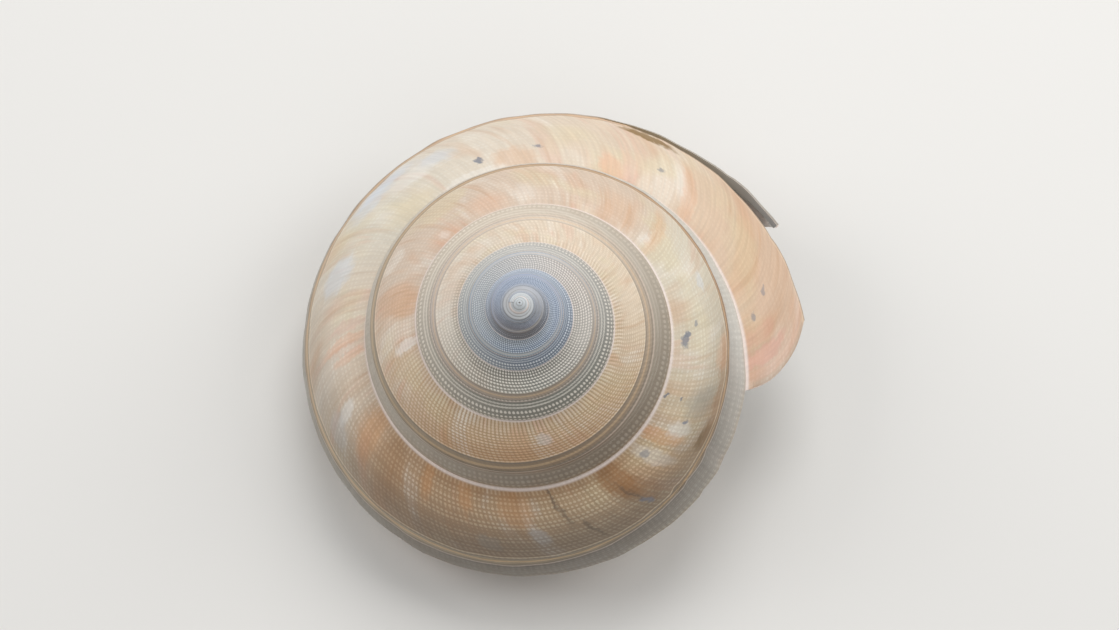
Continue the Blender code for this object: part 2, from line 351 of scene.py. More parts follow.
@dataclass
class Sculpture:
    """The relief of the outer layer: cords, slit band, seam, growth folds and growth breaks."""

    coil: Coil
    shoulder_cords: int = 16
    side_cords: int = 12
    seat_cords: int = 1
    base_cords: int = 22
    front_station: float = 0.778
    cord_height: float = 0.06 * MM
    side_height: float = 0.08 * MM
    base_height: float = 0.16 * MM
    nucleus_height: float = 0.06 * MM
    band_ridge: float = 0.16 * MM
    band_thread: float = 0.09 * MM
    seam_lap: float = 0.24 * MM
    fold_height: float = 0.11 * MM
    # Waves in a whorl, phase in radians and share of the height.
    folds: tuple[tuple[float, float, float], ...] = (
        (17.0, 0.7, 1.0), (26.0, 2.1, 0.8), (41.0, 4.4, 0.6),
    )
    # Station, and step in millimetres.
    breaks: tuple[tuple[float, float], ...] = ((-0.868, 0.30), (-0.842, 0.16), (-0.055, 0.14))
    line_share: float = 0.6
    # Station, and beads in a whorl there.
    ribs: tuple[tuple[float, float], ...] = (
        (-8.0, 60.0), (-6.0, 84.0), (-4.5, 106.0), (-3.8, 114.0), (-2.8, 140.0), (-1.8, 168.0),
        (-0.8, 242.0), (0.3, 290.0),
    )
    rows: Array = field(init=False)
    lengths: Array = field(init=False)
    stations: Array = field(init=False)
    beads: Array = field(init=False)

    def __post_init__(self) -> None:
        """Measure the section's length at each row, and count the beads along the coil."""
        self.rows = np.linspace(0.0, Row.FOOT, 1401)
        line = self.coil.free_section(np.full_like(self.rows, -0.5), self.rows)
        steps = np.linalg.norm(np.diff(line, axis=0), axis=1)
        size = float(self.coil.size(np.array(-0.5)))
        self.lengths = np.concatenate(((0.0,), np.cumsum(steps))) / size
        self.stations = np.linspace(-8.0, 0.3, 3321)
        places, counts = zip(*self.ribs)
        whorl_beads = np.interp(self.stations, places, counts)
        self.beads = np.cumsum(whorl_beads) * (self.stations[1] - self.stations[0])

    def across(self, row: Array) -> Array:
        """Distance from the seam along the section, as a share of the seam's radius."""
        return np.interp(row, self.rows, self.lengths)

    def band_edges(self) -> tuple[float, float]:
        """Distances of the slit band's two edges from the seam."""
        top, foot = self.across(np.array((Row.BAND_TOP, Row.BAND_FOOT)))
        return float(top), float(foot)

    def cord_marks(self) -> tuple[tuple[float, ...], tuple[float, ...]]:
        """Lengths along the section and cord counts at the ends of each field of cords."""
        rows = (Row.SEAM, Row.BAND_TOP, Row.BAND_FOOT, Row.SEAT, Row.ROOF, Row.FOOT)
        fields = (self.shoulder_cords, 1, self.side_cords, self.seat_cords, self.base_cords)
        counts = (0, *np.cumsum(fields))
        return tuple(self.across(np.array(rows))), counts

    def cord(self, row: Array) -> Array:
        """Number of cords from the seam to each row."""
        lengths, counts = self.cord_marks()
        return np.interp(self.across(row), lengths, counts)

    def row_at(self, cord: Array) -> Array:
        """Row at each cord count, the inverse of cord()."""
        lengths, counts = self.cord_marks()
        return np.interp(np.interp(cord, counts, lengths), self.lengths, self.rows)

    def spread(self, station: Array, row: Array) -> Array:
        """Row whose sculpture each point carries: the band sits higher up on the early whorls."""
        early = ramp((-1.3 - station) / 0.8)
        top = Row.BAND_TOP - 0.95 * early
        foot = Row.BAND_FOOT - 1.4 * early
        above = row * Row.BAND_TOP / top
        inside = Row.BAND_TOP + (row - top) / (foot - top)
        below = Row.SEAT - (Row.SEAT - Row.BAND_FOOT) * (Row.SEAT - row) / (Row.SEAT - foot)
        lower = np.where(row <= Row.SEAT, below, row)
        return np.where(row <= top, above, np.where(row <= foot, inside, lower))

    def grown(self, station: Array, row: Array) -> Array:
        """Station at which the lip stood when it laid down each point: the growth line."""
        share = self.line_share + (1.0 - self.line_share) * ramp(1.0 + station / 0.45)
        return station - share * self.coil.lip_line(row)

    def bead(self, grown: Array) -> Array:
        """Number of beads along the coil to each growth line."""
        return np.interp(grown, self.stations, self.beads)

    def marks(self, station: Array, row: Array) -> Array:
        """The four coordinates that the finish reads: growth line, across, bead and cord."""
        grown = self.grown(station, row)
        row = self.spread(station, row)
        return np.stack((grown, self.across(row), self.bead(grown), self.cord(row)), axis=-1)

    def relief(self, station: Array, row: Array) -> Array:
        """Height of the sculpture over the plain wall.

        Args:
            station: Stations of the points.
            row: Rows of the points.

        Returns:
            The heights in metres, along the wall's outward direction.
        """
        grown = self.grown(station, row)
        row = self.spread(station, row)
        cord = self.cord(row)
        scale = self.coil.size(station) / self.coil.seam_radius
        fine = ramp((station + 2.45) / 0.5)
        fine = np.where(row < Row.BAND_TOP, fine, ramp((station + 1.4) / 0.3))
        ridge = 0.5 - 0.5 * fine * np.cos(TURN * cord)
        ridge += 0.5 * (1.0 - fine) * -np.cos(0.5 * TURN * cord)
        uneven = 0.68 + 0.32 * np.sin(2.3 * cord + 1.1) * np.sin(1.7 * cord + 4.0 * grown)
        minor = 0.3 * fine * (0.5 - 0.5 * np.cos(2.0 * TURN * cord))
        ridge = ridge * uneven + minor
        turned = 0.5 + 0.5 * np.cos(TURN * (station + self.front_station))
        outer = ramp((station + 2.6) / 0.8)
        ridge = ridge * (1.0 - outer * 0.8 * (1.0 - turned))
        smooth = 1.0 - 0.62 * window(grown, -0.60, -0.17, 0.12)
        on_shoulder = ramp(row / 0.12) * ramp((Row.BAND_TOP - row) / 0.12)
        height = self.cord_height * ramp((station + 3.6) / 0.6) * smooth * on_shoulder
        height = height * ridge

        to_seat = Row.SEAT - row
        nucleus = ramp((-4.75 - station) / 0.3) * ramp(row / 0.5) * ramp(to_seat / 0.5)
        height += self.nucleus_height * nucleus * (0.5 - 0.5 * np.cos(TURN * row * 3.0 / 7.0))

        on_side = ramp((row - 4.1) / 0.2) * ramp(to_seat / 0.12)
        height += self.side_height * ramp((station + 3.4) / 0.5) * scale * on_side * ridge
        on_base = ramp(-to_seat / 0.2) * ramp((13.3 - row) / 0.6)
        height += self.base_height * scale * on_base * ridge

        ridges = np.exp(-((row - 3.02) / 0.07) ** 2) + np.exp(-((row - 3.98) / 0.07) ** 2)
        thread = np.exp(-((row - 3.5) / 0.09) ** 2)
        height += scale ** 0.5 * (self.band_ridge * ridges + self.band_thread * thread)

        lap = ramp(cord / 0.16) * ramp((1.3 - cord) / 1.2)
        lap *= np.where(row < 1.0, 1.0, 0.0)
        height += self.seam_lap * scale ** 0.6 * lap

        folds = np.zeros_like(height)
        for count, phase, share in self.folds:
            drift = 0.9 * np.sin(TURN * (3.1 * grown + phase))
            folds += share * np.sin(TURN * count * grown + phase + drift)
        fade = ramp(row / 0.5) * np.where(to_seat > 0.0, ramp(to_seat / 0.6), 1.0)
        fade = np.where(to_seat < 0.0, ramp(-to_seat / 0.6) * ramp(Row.FOOT - row), fade)
        late = ramp((station + 1.6) / 0.6)
        height += self.fold_height * scale * late * folds * fade * 0.5

        for stand, depth in self.breaks:
            past = grown - stand
            step = ramp(past / 0.004 + 0.5) * np.exp(-np.maximum(past, 0.0) / 0.03)
            groove = np.exp(-((past + 0.002) / 0.003) ** 2)
            height += depth * MM * fade * (step - 0.5 * groove)
        return height


@dataclass
class Cloth:
    """Patches of points gathered for one mesh, each point with its four finish coordinates."""

    points: list[Array] = field(default_factory=list)
    marks: list[Array] = field(default_factory=list)
    faces: list[Array] = field(default_factory=list)
    layers: list[Array] = field(default_factory=list)
    count: int = 0
    weld: float = 0.0005 * MM
    sharp_angle: float = math.radians(66.0)

    def _keep(self, points: Array, marks: Array) -> int:
        """Store points with their marks, and return the first one's number."""
        first = self.count
        self.points.append(points.reshape(-1, 3))
        self.marks.append(marks.reshape(-1, 4))
        self.count += points.reshape(-1, 3).shape[0]
        return first

    def _face(self, faces: Array, layer: Layer) -> None:
        """Store faces of one layer."""
        self.faces.append(faces)
        self.layers.append(np.full(len(faces), layer.value))

    def grid(self, points: Array, marks: Array, layer: Layer, left_out: Array = None) -> None:
        """Add a grid of four-sided faces.

        Args:
            points: Positions, (columns, rows, 3).
            marks: Finish coordinates, (columns, rows, 4).
            layer: The wall's layer that the faces belong to.
            left_out: True for each face to leave out, (columns - 1, rows - 1).
        """
        first = self._keep(points, marks)
        columns, rows = points.shape[:2]
        number = first + np.arange(columns * rows).reshape(columns, rows)
        corners = (number[:-1, :-1], number[1:, :-1], number[1:, 1:], number[:-1, 1:])
        faces = np.stack(corners, axis=-1)
        kept = np.ones(faces.shape[:2], bool) if left_out is None else ~left_out
        self._face(faces[kept], layer)

    def zip(self, first: Points, second: Points, layer: Layer) -> None:
        """Join two chains of points with three-sided faces, whatever their numbers of points.

        Args:
            first: Positions (n, 3) and finish coordinates (n, 4) of one chain.
            second: The same for the other chain, which runs beside it.
            layer: The wall's layer that the faces belong to.
        """
        start = self._keep(*first)
        other = self._keep(*second)
        runs = []
        for points in (first[0], second[0]):
            steps = np.linalg.norm(np.diff(points, axis=0), axis=1)
            run = np.concatenate(((0.0,), np.cumsum(steps)))
            runs.append(run / run[-1])
        here, there = 0, 0
        faces = []
        while here < len(runs[0]) - 1 or there < len(runs[1]) - 1:
            ends = there == len(runs[1]) - 1
            near = here < len(runs[0]) - 1 and (ends or runs[0][here + 1] <= runs[1][there + 1])
            if near:
                faces.append((start + here, start + here + 1, other + there))
                here += 1
            else:
                faces.append((start + here, other + there + 1, other + there))
                there += 1
        self._face(np.array(faces), layer)

    def build(self, name: str, finishes: list[Material]) -> bpy.types.Object:
        """Make the mesh, weld its patches, turn its faces outwards and smooth it.

        Args:
            name: Name of the finished object.
            finishes: Materials in the order of the wall's layers.

        Returns:
            The finished object, at the origin.
        """
        points = np.concatenate(self.points)
        marks = np.concatenate(self.marks)
        faces = [tuple(face) for block in self.faces for face in block.tolist()]
        mesh = bpy.data.meshes.new(name)
        mesh.from_pydata(points.tolist(), [], faces)
        mesh.polygons.foreach_set("material_index", np.concatenate(self.layers))
        corner = np.zeros(len(mesh.loops), int)
        mesh.loops.foreach_get("vertex_index", corner)
        for layer, columns in (("growth", (0, 1)), ("sculpture", (2, 3))):
            values = marks[corner][:, columns].astype(np.float32)
            mesh.uv_layers.new(name=layer).data.foreach_set("uv", values.ravel())
        for finish in finishes:
            mesh.materials.append(finish)
        shell = bpy.data.objects.new(name, mesh)
        bpy.context.scene.collection.objects.link(shell)
        bpy.ops.object.select_all(action="DESELECT")
        bpy.context.view_layer.objects.active = shell
        shell.select_set(True)
        bpy.ops.object.mode_set(mode="EDIT")
        bpy.ops.mesh.select_all(action="SELECT")
        bpy.ops.mesh.remove_doubles(threshold=self.weld)
        bpy.ops.mesh.select_all(action="DESELECT")
        bpy.ops.mesh.select_non_manifold(extend=False)
        bpy.ops.mesh.fill_holes(sides=4)
        bpy.ops.mesh.select_all(action="SELECT")
        bpy.ops.mesh.normals_make_consistent(inside=False)
        bpy.ops.object.mode_set(mode="OBJECT")
        bpy.ops.object.shade_smooth_by_angle(angle=self.sharp_angle)
        return shell


@dataclass
class ShellWall:
    """The whole shell: spire, last whorl with its slit, base, columella, hollow and lip."""

    coil: Coil
    sculpture: Sculpture
    body: str = "root"
    node: str = "shell"
    finish_slot: str = "shell"
    hollow_whorls: float = 1.6
    slit_whorls: float = 30.0 / 176.0
    # First and last station, columns in a whorl and points on each cord.
    whorl_columns: tuple[tuple[float, float, int, int], ...] = (
        (-6.5, -3.0, 80, 1), (-3.0, -2.0, 112, 4), (-2.0, -1.0, 132, 8), (-1.0, 0.0, 176, 8),
    )
    hollow_columns: int = 92
    columella_steps: int = 8
    lip_steps: int = 3
    lip_bulge: float = 0.25 * MM
    apex_height: float = -0.35 * MM
    finishes: list[Material] = field(default_factory=list)
    cloth: Cloth = field(default_factory=Cloth)

    def top_rows(self, detail: int) -> Array:
        """Rows from the seam to the seat, with so many points on each cord of the shoulder."""
        parts = self.sculpture
        shoulder = np.linspace(0.0, parts.shoulder_cords, parts.shoulder_cords * detail + 1)
        shoulder = parts.row_at(shoulder)
        band = np.linspace(Row.BAND_TOP, Row.BAND_FOOT, 7 if detail > 1 else 3)
        start = parts.shoulder_cords + 1
        steps = parts.side_cords * max(detail // 2, 1) if detail > 1 else 5
        side = parts.row_at(np.linspace(start, start + parts.side_cords, steps + 1))
        rows = np.concatenate((shoulder[:-1], band[:-1], side))
        rows[0] = 0.0
        rows[-1] = Row.SEAT
        return rows

    def base_rows(self) -> Array:
        """Rows from the seat to the foot of the columella, three to each cord."""
        parts = self.sculpture
        start = parts.shoulder_cords + 1 + parts.side_cords
        count = parts.seat_cords + parts.base_cords
        rows = parts.row_at(np.linspace(start, start + count, 3 * count + 1))
        rows[0] = Row.SEAT
        rows[self.lip_steps] = Row.ROOF
        rows[-1] = Row.FOOT
        return rows

    def outside(self, station: Array, row: Array) -> Points:
        """Sculptured points of the wall's outside with their finish coordinates."""
        station, row = np.broadcast_arrays(station, row)
        station = self.coil.swung(station, row)
        plain = self.coil.section(station, row)
        lift = self.sculpture.relief(station, row)[..., None] * self.coil.outward(station, row)
        return self.coil.place(station, plain + lift), self.sculpture.marks(station, row)

    def roof_line(self, station: Array, row: Array) -> Array:
        """The whorl above, where it roofs the hollow, as (radius, height)."""
        above = station - 1.0
        near = ramp((station + 0.03) / 0.03)
        lift = (near * self.sculpture.relief(above, row))[..., None]
        return self.coil.section(above, row) + lift * self.coil.outward(above, row)

    def roof(self, station: Array, row: Array) -> Points:
        """Points of the hollow's roof with their finish coordinates."""
        station, row = np.broadcast_arrays(station, row)
        place = self.coil.place(station - 1.0, self.roof_line(station, row))
        return place, self.sculpture.marks(station, row)

    def inside(self, station: Array, row: Array) -> Points:
        """Points of the wall's smooth inside with their finish coordinates."""
        station, row = np.broadcast_arrays(station, row)
        lip = ramp(1.0 + station / 0.07)
        above = self.roof_line(station, np.full_like(row, Row.ROOF))
        swung = self.coil.swung(station, row)
        points = self.coil.inner_section(swung, row, lip, above)
        return self.coil.place(swung, points), self.sculpture.marks(swung, row)

    def last_whorl(self) -> Array:
        """Stations of the columns of the last whorl."""
        return np.linspace(-1.0, 0.0, self.whorl_columns[-1][2] + 1)

    def slit_stations(self) -> Array:
        """Stations of the columns beside the slit."""
        whorls = self.slit_whorls
        return np.linspace(-whorls, 0.0, round(whorls * self.whorl_columns[-1][2]) + 1)

    def in_slit(self, stations: Array, rows: Array) -> Array:
        """True for the faces that the slit leaves out, (stations - 1, rows - 1)."""
        on_band = (rows[:-1] >= Row.BAND_TOP) & (rows[1:] <= Row.BAND_FOOT)
        return (stations[:-1] >= -self.slit_whorls - CLOSE)[:, None] & on_band[None, :]

    def add_spire(self) -> None:
        """The visible whorls, finer towards the lip, zipped where their grids change."""
        stretches = []
        for first, last, columns, detail in self.whorl_columns:
            rows = self.top_rows(detail)
            stations = np.linspace(first, last, round((last - first) * columns) + 1)
            points, marks = self.outside(stations[:, None], rows[None, :])
            skipped = np.zeros((len(stations) - 1, len(rows) - 1), bool)
            if last < 0.0:
                skipped[stations[:-1] >= last - 1.0 - CLOSE, -1] = True
                skipped[-1, :] = True
            else:
                skipped |= self.in_slit(stations, rows)
            self.cloth.grid(points, marks, Layer.PORCELAIN, skipped)
            stretches.append((stations, rows))
        for coarse, fine in zip(stretches, stretches[1:]):
            self._zip_stretch(*coarse, *fine)

    def _zip_stretch(self, stations: Array, rows: Array, finer: Array, finer_rows: Array) -> None:
        """Join a stretch of the spire to the finer one after it and below it.

        Args:
            stations: Stations of the first stretch.
            rows: Rows of the first stretch.
            finer: Stations of the finer stretch, which starts where the first one ends.
            finer_rows: Rows of the finer stretch.
        """
        shared = int(np.argmin(np.abs(finer_rows - rows[-2])))
        coarse_end = self.outside(stations[-2], rows[:-1])
        fine_start = self.outside(finer[0], finer_rows[: shared + 1])
        self.cloth.zip(coarse_end, fine_start, Layer.PORCELAIN)

        above = stations[stations >= finer[0] - 1.0 - CLOSE]
        row_end = self.outside(above, rows[-2:-1])
        corner = self.outside(finer[0], finer_rows[shared + 1 : -1])
        upper = tuple(np.concatenate(pair) for pair in zip(row_end, corner))
        below = finer[finer <= finer[0] + 1.0 + CLOSE]
        seam = self.outside(below, np.zeros(1))[0]
        seat_marks = self.sculpture.marks(below - 1.0, np.full(len(below), Row.SEAT))
        self.cloth.zip(upper, (seam, seat_marks), Layer.PORCELAIN)

    def add_base(self) -> None:
        """The base of the last whorl, from the seat to the foot of the columella."""
        points, marks = self.outside(self.last_whorl()[:, None], self.base_rows()[None, :])
        self.cloth.grid(points, marks, Layer.PORCELAIN)

    def ring(self, station: Array) -> tuple[Array, Array, int, int]:
        """Closed rings of the hollow: the wall's inside, the columella and the roof.

        Args:
            station: Stations of the rings, (n,).

        Returns:
            Positions (n, points, 3), finish coordinates (n, points, 4), and the places in a
            ring of the columella's foot and of the roof's first point.
        """
        rows = self.inner_rows()
        wall = self.inside(station[:, None], rows[None, :])
        roof_rows = np.linspace(Row.FOOT, Row.ROOF, 19)
        roof = self.roof(station[:, None], roof_rows[None, :])
        share = np.linspace(0.0, 1.0, self.columella_steps + 1)[1:-1, None]
        pillar = [
            low[:, -1:] * (1.0 - share) + high[:, :1] * share for low, high in zip(wall, roof)
        ]
        points, marks = (np.concatenate(parts, axis=1) for parts in zip(wall, pillar, roof))
        foot = len(rows) - 1
        return points, marks, foot, foot + self.columella_steps

    def inner_rows(self) -> Array:
        """Rows of the wall's inside, coarser than its outside."""
        upper = np.linspace(Row.SEAM, Row.BAND_TOP, 13)
        band = np.linspace(Row.BAND_TOP, Row.BAND_FOOT, 7)
        lower = np.linspace(Row.BAND_FOOT, Row.FOOT, 27)
        return np.concatenate((upper[:-1], band[:-1], lower))

    def add_hollow(self) -> None:
        """The coiled hollow behind the mouth, closed where it narrows out of sight."""
        far = np.linspace(-self.hollow_whorls, -self.slit_whorls, self.hollow_columns)
        stations = np.concatenate((far[:-1], self.slit_stations()))
        points, marks, foot, roof = self.ring(stations)
        rows = self.inner_rows()
        skipped = np.zeros((points.shape[0] - 1, points.shape[1] - 1), bool)
        skipped[:, : len(rows) - 1] = self.in_slit(stations, rows)
        skipped[-1, :foot] = True
        skipped[-1, roof:] = True
        self.cloth.grid(points, marks, Layer.NACRE, skipped)

        top = int(np.argmin(np.abs(rows - Row.BAND_TOP)))
        bottom = int(np.argmin(np.abs(rows - Row.BAND_FOOT)))
        behind = points[-2], marks[-2]
        for part, edge_rows in (
            (slice(0, top + 1), self.lip_rows()[0]),
            (slice(bottom, foot + 1), self.lip_rows()[1]),
        ):
            edge = self.inside(np.zeros(1), edge_rows)
            self.cloth.zip((behind[0][part], behind[1][part]), edge, Layer.NACRE)
        base_rows = self.base_rows()[self.lip_steps :][::-1]
        edge = self.outside(np.full(1, -1.0), base_rows)
        self.cloth.zip((behind[0][roof:], behind[1][roof:]), edge, Layer.NACRE)
        self._close_ring(points[0], marks[0], points[0].mean(axis=0), Layer.NACRE)

    def _close_ring(self, rim: Array, marks: Array, centre: Array, layer: Layer) -> None:
        """Close a ring of points with a flat disc round a centre."""
        shares = np.array((1.0, 0.5, 0.0))[None, :, None]
        points = centre + (rim[:, None, :] - centre) * shares
        self.cloth.grid(points, np.repeat(marks[:, None, :], 3, axis=1), layer)

    def lip_rows(self) -> tuple[Array, Array]:
        """Rows of the lip's edge above the slit and below it."""
        rows = np.concatenate((self.top_rows(self.whorl_columns[-1][3])[:-1], self.base_rows()))
        return rows[rows <= Row.BAND_TOP], rows[rows >= Row.BAND_FOOT]

    def _edge(self, outer: Points, inner: Points, bulge: Array) -> Points:
        """Points of a cut edge of the wall, from the outside to the inside.

        Args:
            outer: Positions and finish coordinates along the outer edge, (n, 3) and (n, 4).
            inner: The same along the inner edge.
            bulge: How far the middle of the edge stands out, (n, 3).

        Returns:
            Positions and finish coordinates, (n, steps + 1, ...).
        """
        share = np.linspace(0.0, 1.0, self.lip_steps + 1)[None, :, None]
        round_out = np.sin(math.pi * share)
        points = outer[0][:, None] * (1.0 - share) + inner[0][:, None] * share
        points = points + bulge[:, None] * round_out
        marks = outer[1][:, None] * (1.0 - share) + inner[1][:, None] * share
        return points, marks

    def add_edges(self) -> None:
        """The rounded edge of the lip, and the edges and the end of the slit."""
        seat = self.outside(np.full(1, -1.0), self.base_rows()[: self.lip_steps + 1])
        for rows in self.lip_rows():
            outer = self.outside(np.zeros(1), rows)
            inner = self.inside(np.zeros(1), rows)
            ahead = self.outside(np.full(1, -0.002), rows)[0]
            forward = outer[0] - ahead
            forward /= np.linalg.norm(forward, axis=1, keepdims=True)
            ends = ramp((rows - rows[0]) / 0.3) * ramp((rows[-1] - rows) / 0.3)
            points, marks = self._edge(outer, inner, forward * (ends * self.lip_bulge)[:, None])
            if rows[0] == 0.0:
                points[0] = seat[0]
            self.cloth.grid(points, marks, Layer.EDGE)

        slit = self.slit_stations()
        top, foot = np.full(1, Row.BAND_TOP), np.full(1, Row.BAND_FOOT)
        band = np.linspace(Row.BAND_TOP, Row.BAND_FOOT, 7)
        for stations, rows in ((slit, top), (slit, foot), (slit[:1], band)):
            outer, inner = self.outside(stations, rows), self.inside(stations, rows)
            self.cloth.grid(*self._edge(outer, inner, np.zeros_like(outer[0])), Layer.EDGE)

    def _dome(
        self, rim: Array, marks: Array, peak: float, power: float, steps: int,
        ripples: float = 0.0, calm: float = 0.0,
    ) -> None:
        """Close a loop of points round the axis with rings that run up to a peak.

        Args:
            rim: Positions of the loop, the last one the same as the first.
            marks: Finish coordinates of the loop.
            peak: Height of the peak on the axis, before the shell is laid down.
            power: How the height grows with the distance from the axis.
            steps: Number of rings.
            ripples: Height of the three ridges round the peak.
            calm: How fast the loop's own outline gives way to a circle.
        """
        top = self.coil.place(np.zeros(1), np.array(((0.0, peak),)))[0]
        axis = self.coil.laid @ np.array((0.0, 0.0, 1.0))
        height = ((rim - top) @ axis)[:, None, None]
        spread = (rim - top)[:, None, :] - height * axis
        reach = np.linalg.norm(spread, axis=-1, keepdims=True)
        share = np.linspace(1.0, 0.0, steps + 1)[None, :, None]
        own = share ** calm
        round_off = own + (1.0 - own) * reach.mean() / reach
        rise = height * own + height.mean() * (1.0 - own)
        ripple = ripples * (0.5 - 0.5 * np.cos(TURN * 3.0 * share)) * ramp(6.0 - 6.0 * share)
        points = top + spread * share * round_off + (rise * share ** power + ripple) * axis
        left = 1.0 - share
        ring_marks = marks[:, None, :] * share ** np.array((1.0, 3.0, 1.0, 1.0))
        ring_marks += left * np.array((-7.5, 0.2, 0.0, self.sculpture.cord(np.array(Row.SEAT))))
        self.cloth.grid(points, ring_marks, Layer.PORCELAIN)

    def add_apex(self) -> None:
        """The smooth dome of the first whorl."""
        first, _, columns, detail = self.whorl_columns[0]
        turn = np.linspace(first, first + 1.0, columns + 1)
        seam = self.outside(turn, np.zeros(1))
        step = self.outside(np.full(1, first), self.top_rows(detail)[:-1][::-1])
        rim, marks = (np.concatenate(pair) for pair in zip(seam, step))
        self._dome(
            rim, marks, self.apex_height, power=1.7, steps=32, ripples=0.035 * MM, calm=2.0
        )

    def add_navel(self) -> None:
        """The callus that closes the middle of the base round the columella."""
        foot_row = np.full(1, Row.FOOT)
        rim = self.outside(self.last_whorl(), foot_row)
        outer = self.outside(np.zeros(1), foot_row)
        inner = self.inside(np.zeros(1), foot_row)
        edge = self._edge(outer, inner, np.zeros((1, 3)))
        points, marks, foot, roof = self.ring(np.zeros(1))
        start = self.outside(np.full(1, -1.0), foot_row)
        chain = [
            (rim[0], rim[1]),
            (edge[0][0, 1:], edge[1][0, 1:]),
            (points[0, foot + 1 : roof], marks[0, foot + 1 : roof]),
            start,
        ]
        loop, loop_marks = (np.concatenate(parts) for parts in zip(*chain))
        last = self.coil.section(np.zeros(1), foot_row)[0, 1]
        previous = self.coil.section(np.full(1, -1.0), foot_row)[0, 1]
        self._dome(loop, loop_marks, 0.5 * (last + previous), power=1.0, steps=8)

    def build(self) -> bpy.types.Object:
        """Model the whole shell as one welded mesh."""
        self.add_spire()
        self.add_base()
        self.add_hollow()
        self.add_edges()
        self.add_apex()
        self.add_navel()
        shell = self.cloth.build("shell_wall", self.finishes)
        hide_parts(self.node)
        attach(shell, self.body)
        return shell


def linear(colour: str) -> tuple[float, float, float, float]:
    """An sRGB hex colour such as "#d8c0a2" as linear red, green, blue and alpha."""
    parts = [int(colour[place : place + 2], 16) / 255.0 for place in (1, 3, 5)]
    bright = [
        part / 12.92 if part <= 0.04045 else ((part + 0.055) / 1.055) ** 2.4 for part in parts
    ]
    return (*bright, 1.0)


class Node(Enum):
    """Nodes of the finishes: type, settings, the inputs that are filled in turn, and the output."""

    GROWTH = ("UVMap", {"uv_map": "growth"}, (), 0)
    COUNTS = ("UVMap", {"uv_map": "sculpture"}, (), 0)
    SPLIT = ("SeparateXYZ", {}, (0,), 0)
    JOIN = ("CombineXYZ", {}, (0, 1), 0)
    MOVED = ("Mapping", {}, ("Vector", "Scale", "Location"), 0)
    NOISE = ("TexNoise", {}, ("Vector", "Scale", "Detail", "Distortion"), 0)
    RAMP = ("ValToRGB", {}, (0,), 0)
    RANGE = ("MapRange", {}, range(5), 0)
    SMOOTH = ("MapRange", {"interpolation_type": "SMOOTHSTEP"}, range(5), 0)
    SUM = ("Math", {"operation": "ADD"}, (0, 1), 0)
    LESS = ("Math", {"operation": "SUBTRACT"}, (0, 1), 0)
    TIMES = ("Math", {"operation": "MULTIPLY"}, (0, 1), 0)
    TIMES_PLUS = ("Math", {"operation": "MULTIPLY_ADD"}, range(3), 0)
    LARGER = ("Math", {"operation": "MAXIMUM"}, (0, 1), 0)
    ABOVE = ("Math", {"operation": "GREATER_THAN"}, (0, 1), 0)
    COSINE = ("Math", {"operation": "COSINE"}, (0,), 0)
    ABSOLUTE = ("Math", {"operation": "ABSOLUTE"}, (0,), 0)
    VECTOR_LESS = ("VectorMath", {"operation": "SUBTRACT"}, (0, 1), 0)
    VECTOR_TIMES_PLUS = ("VectorMath", {"operation": "MULTIPLY_ADD"}, range(3), 0)
    LENGTH = ("VectorMath", {"operation": "LENGTH"}, (0,), 1)
    BLEND = ("Mix", {}, (0, 2, 3), 0)
    PAINT = ("Mix", {"data_type": "RGBA"}, (0, 6, 7), 2)
    BRIGHTEN = ("HueSaturation", {}, ("Value", "Color"), 0)
    BUMP = ("Bump", {}, ("Height", "Distance", "Strength"), 0)


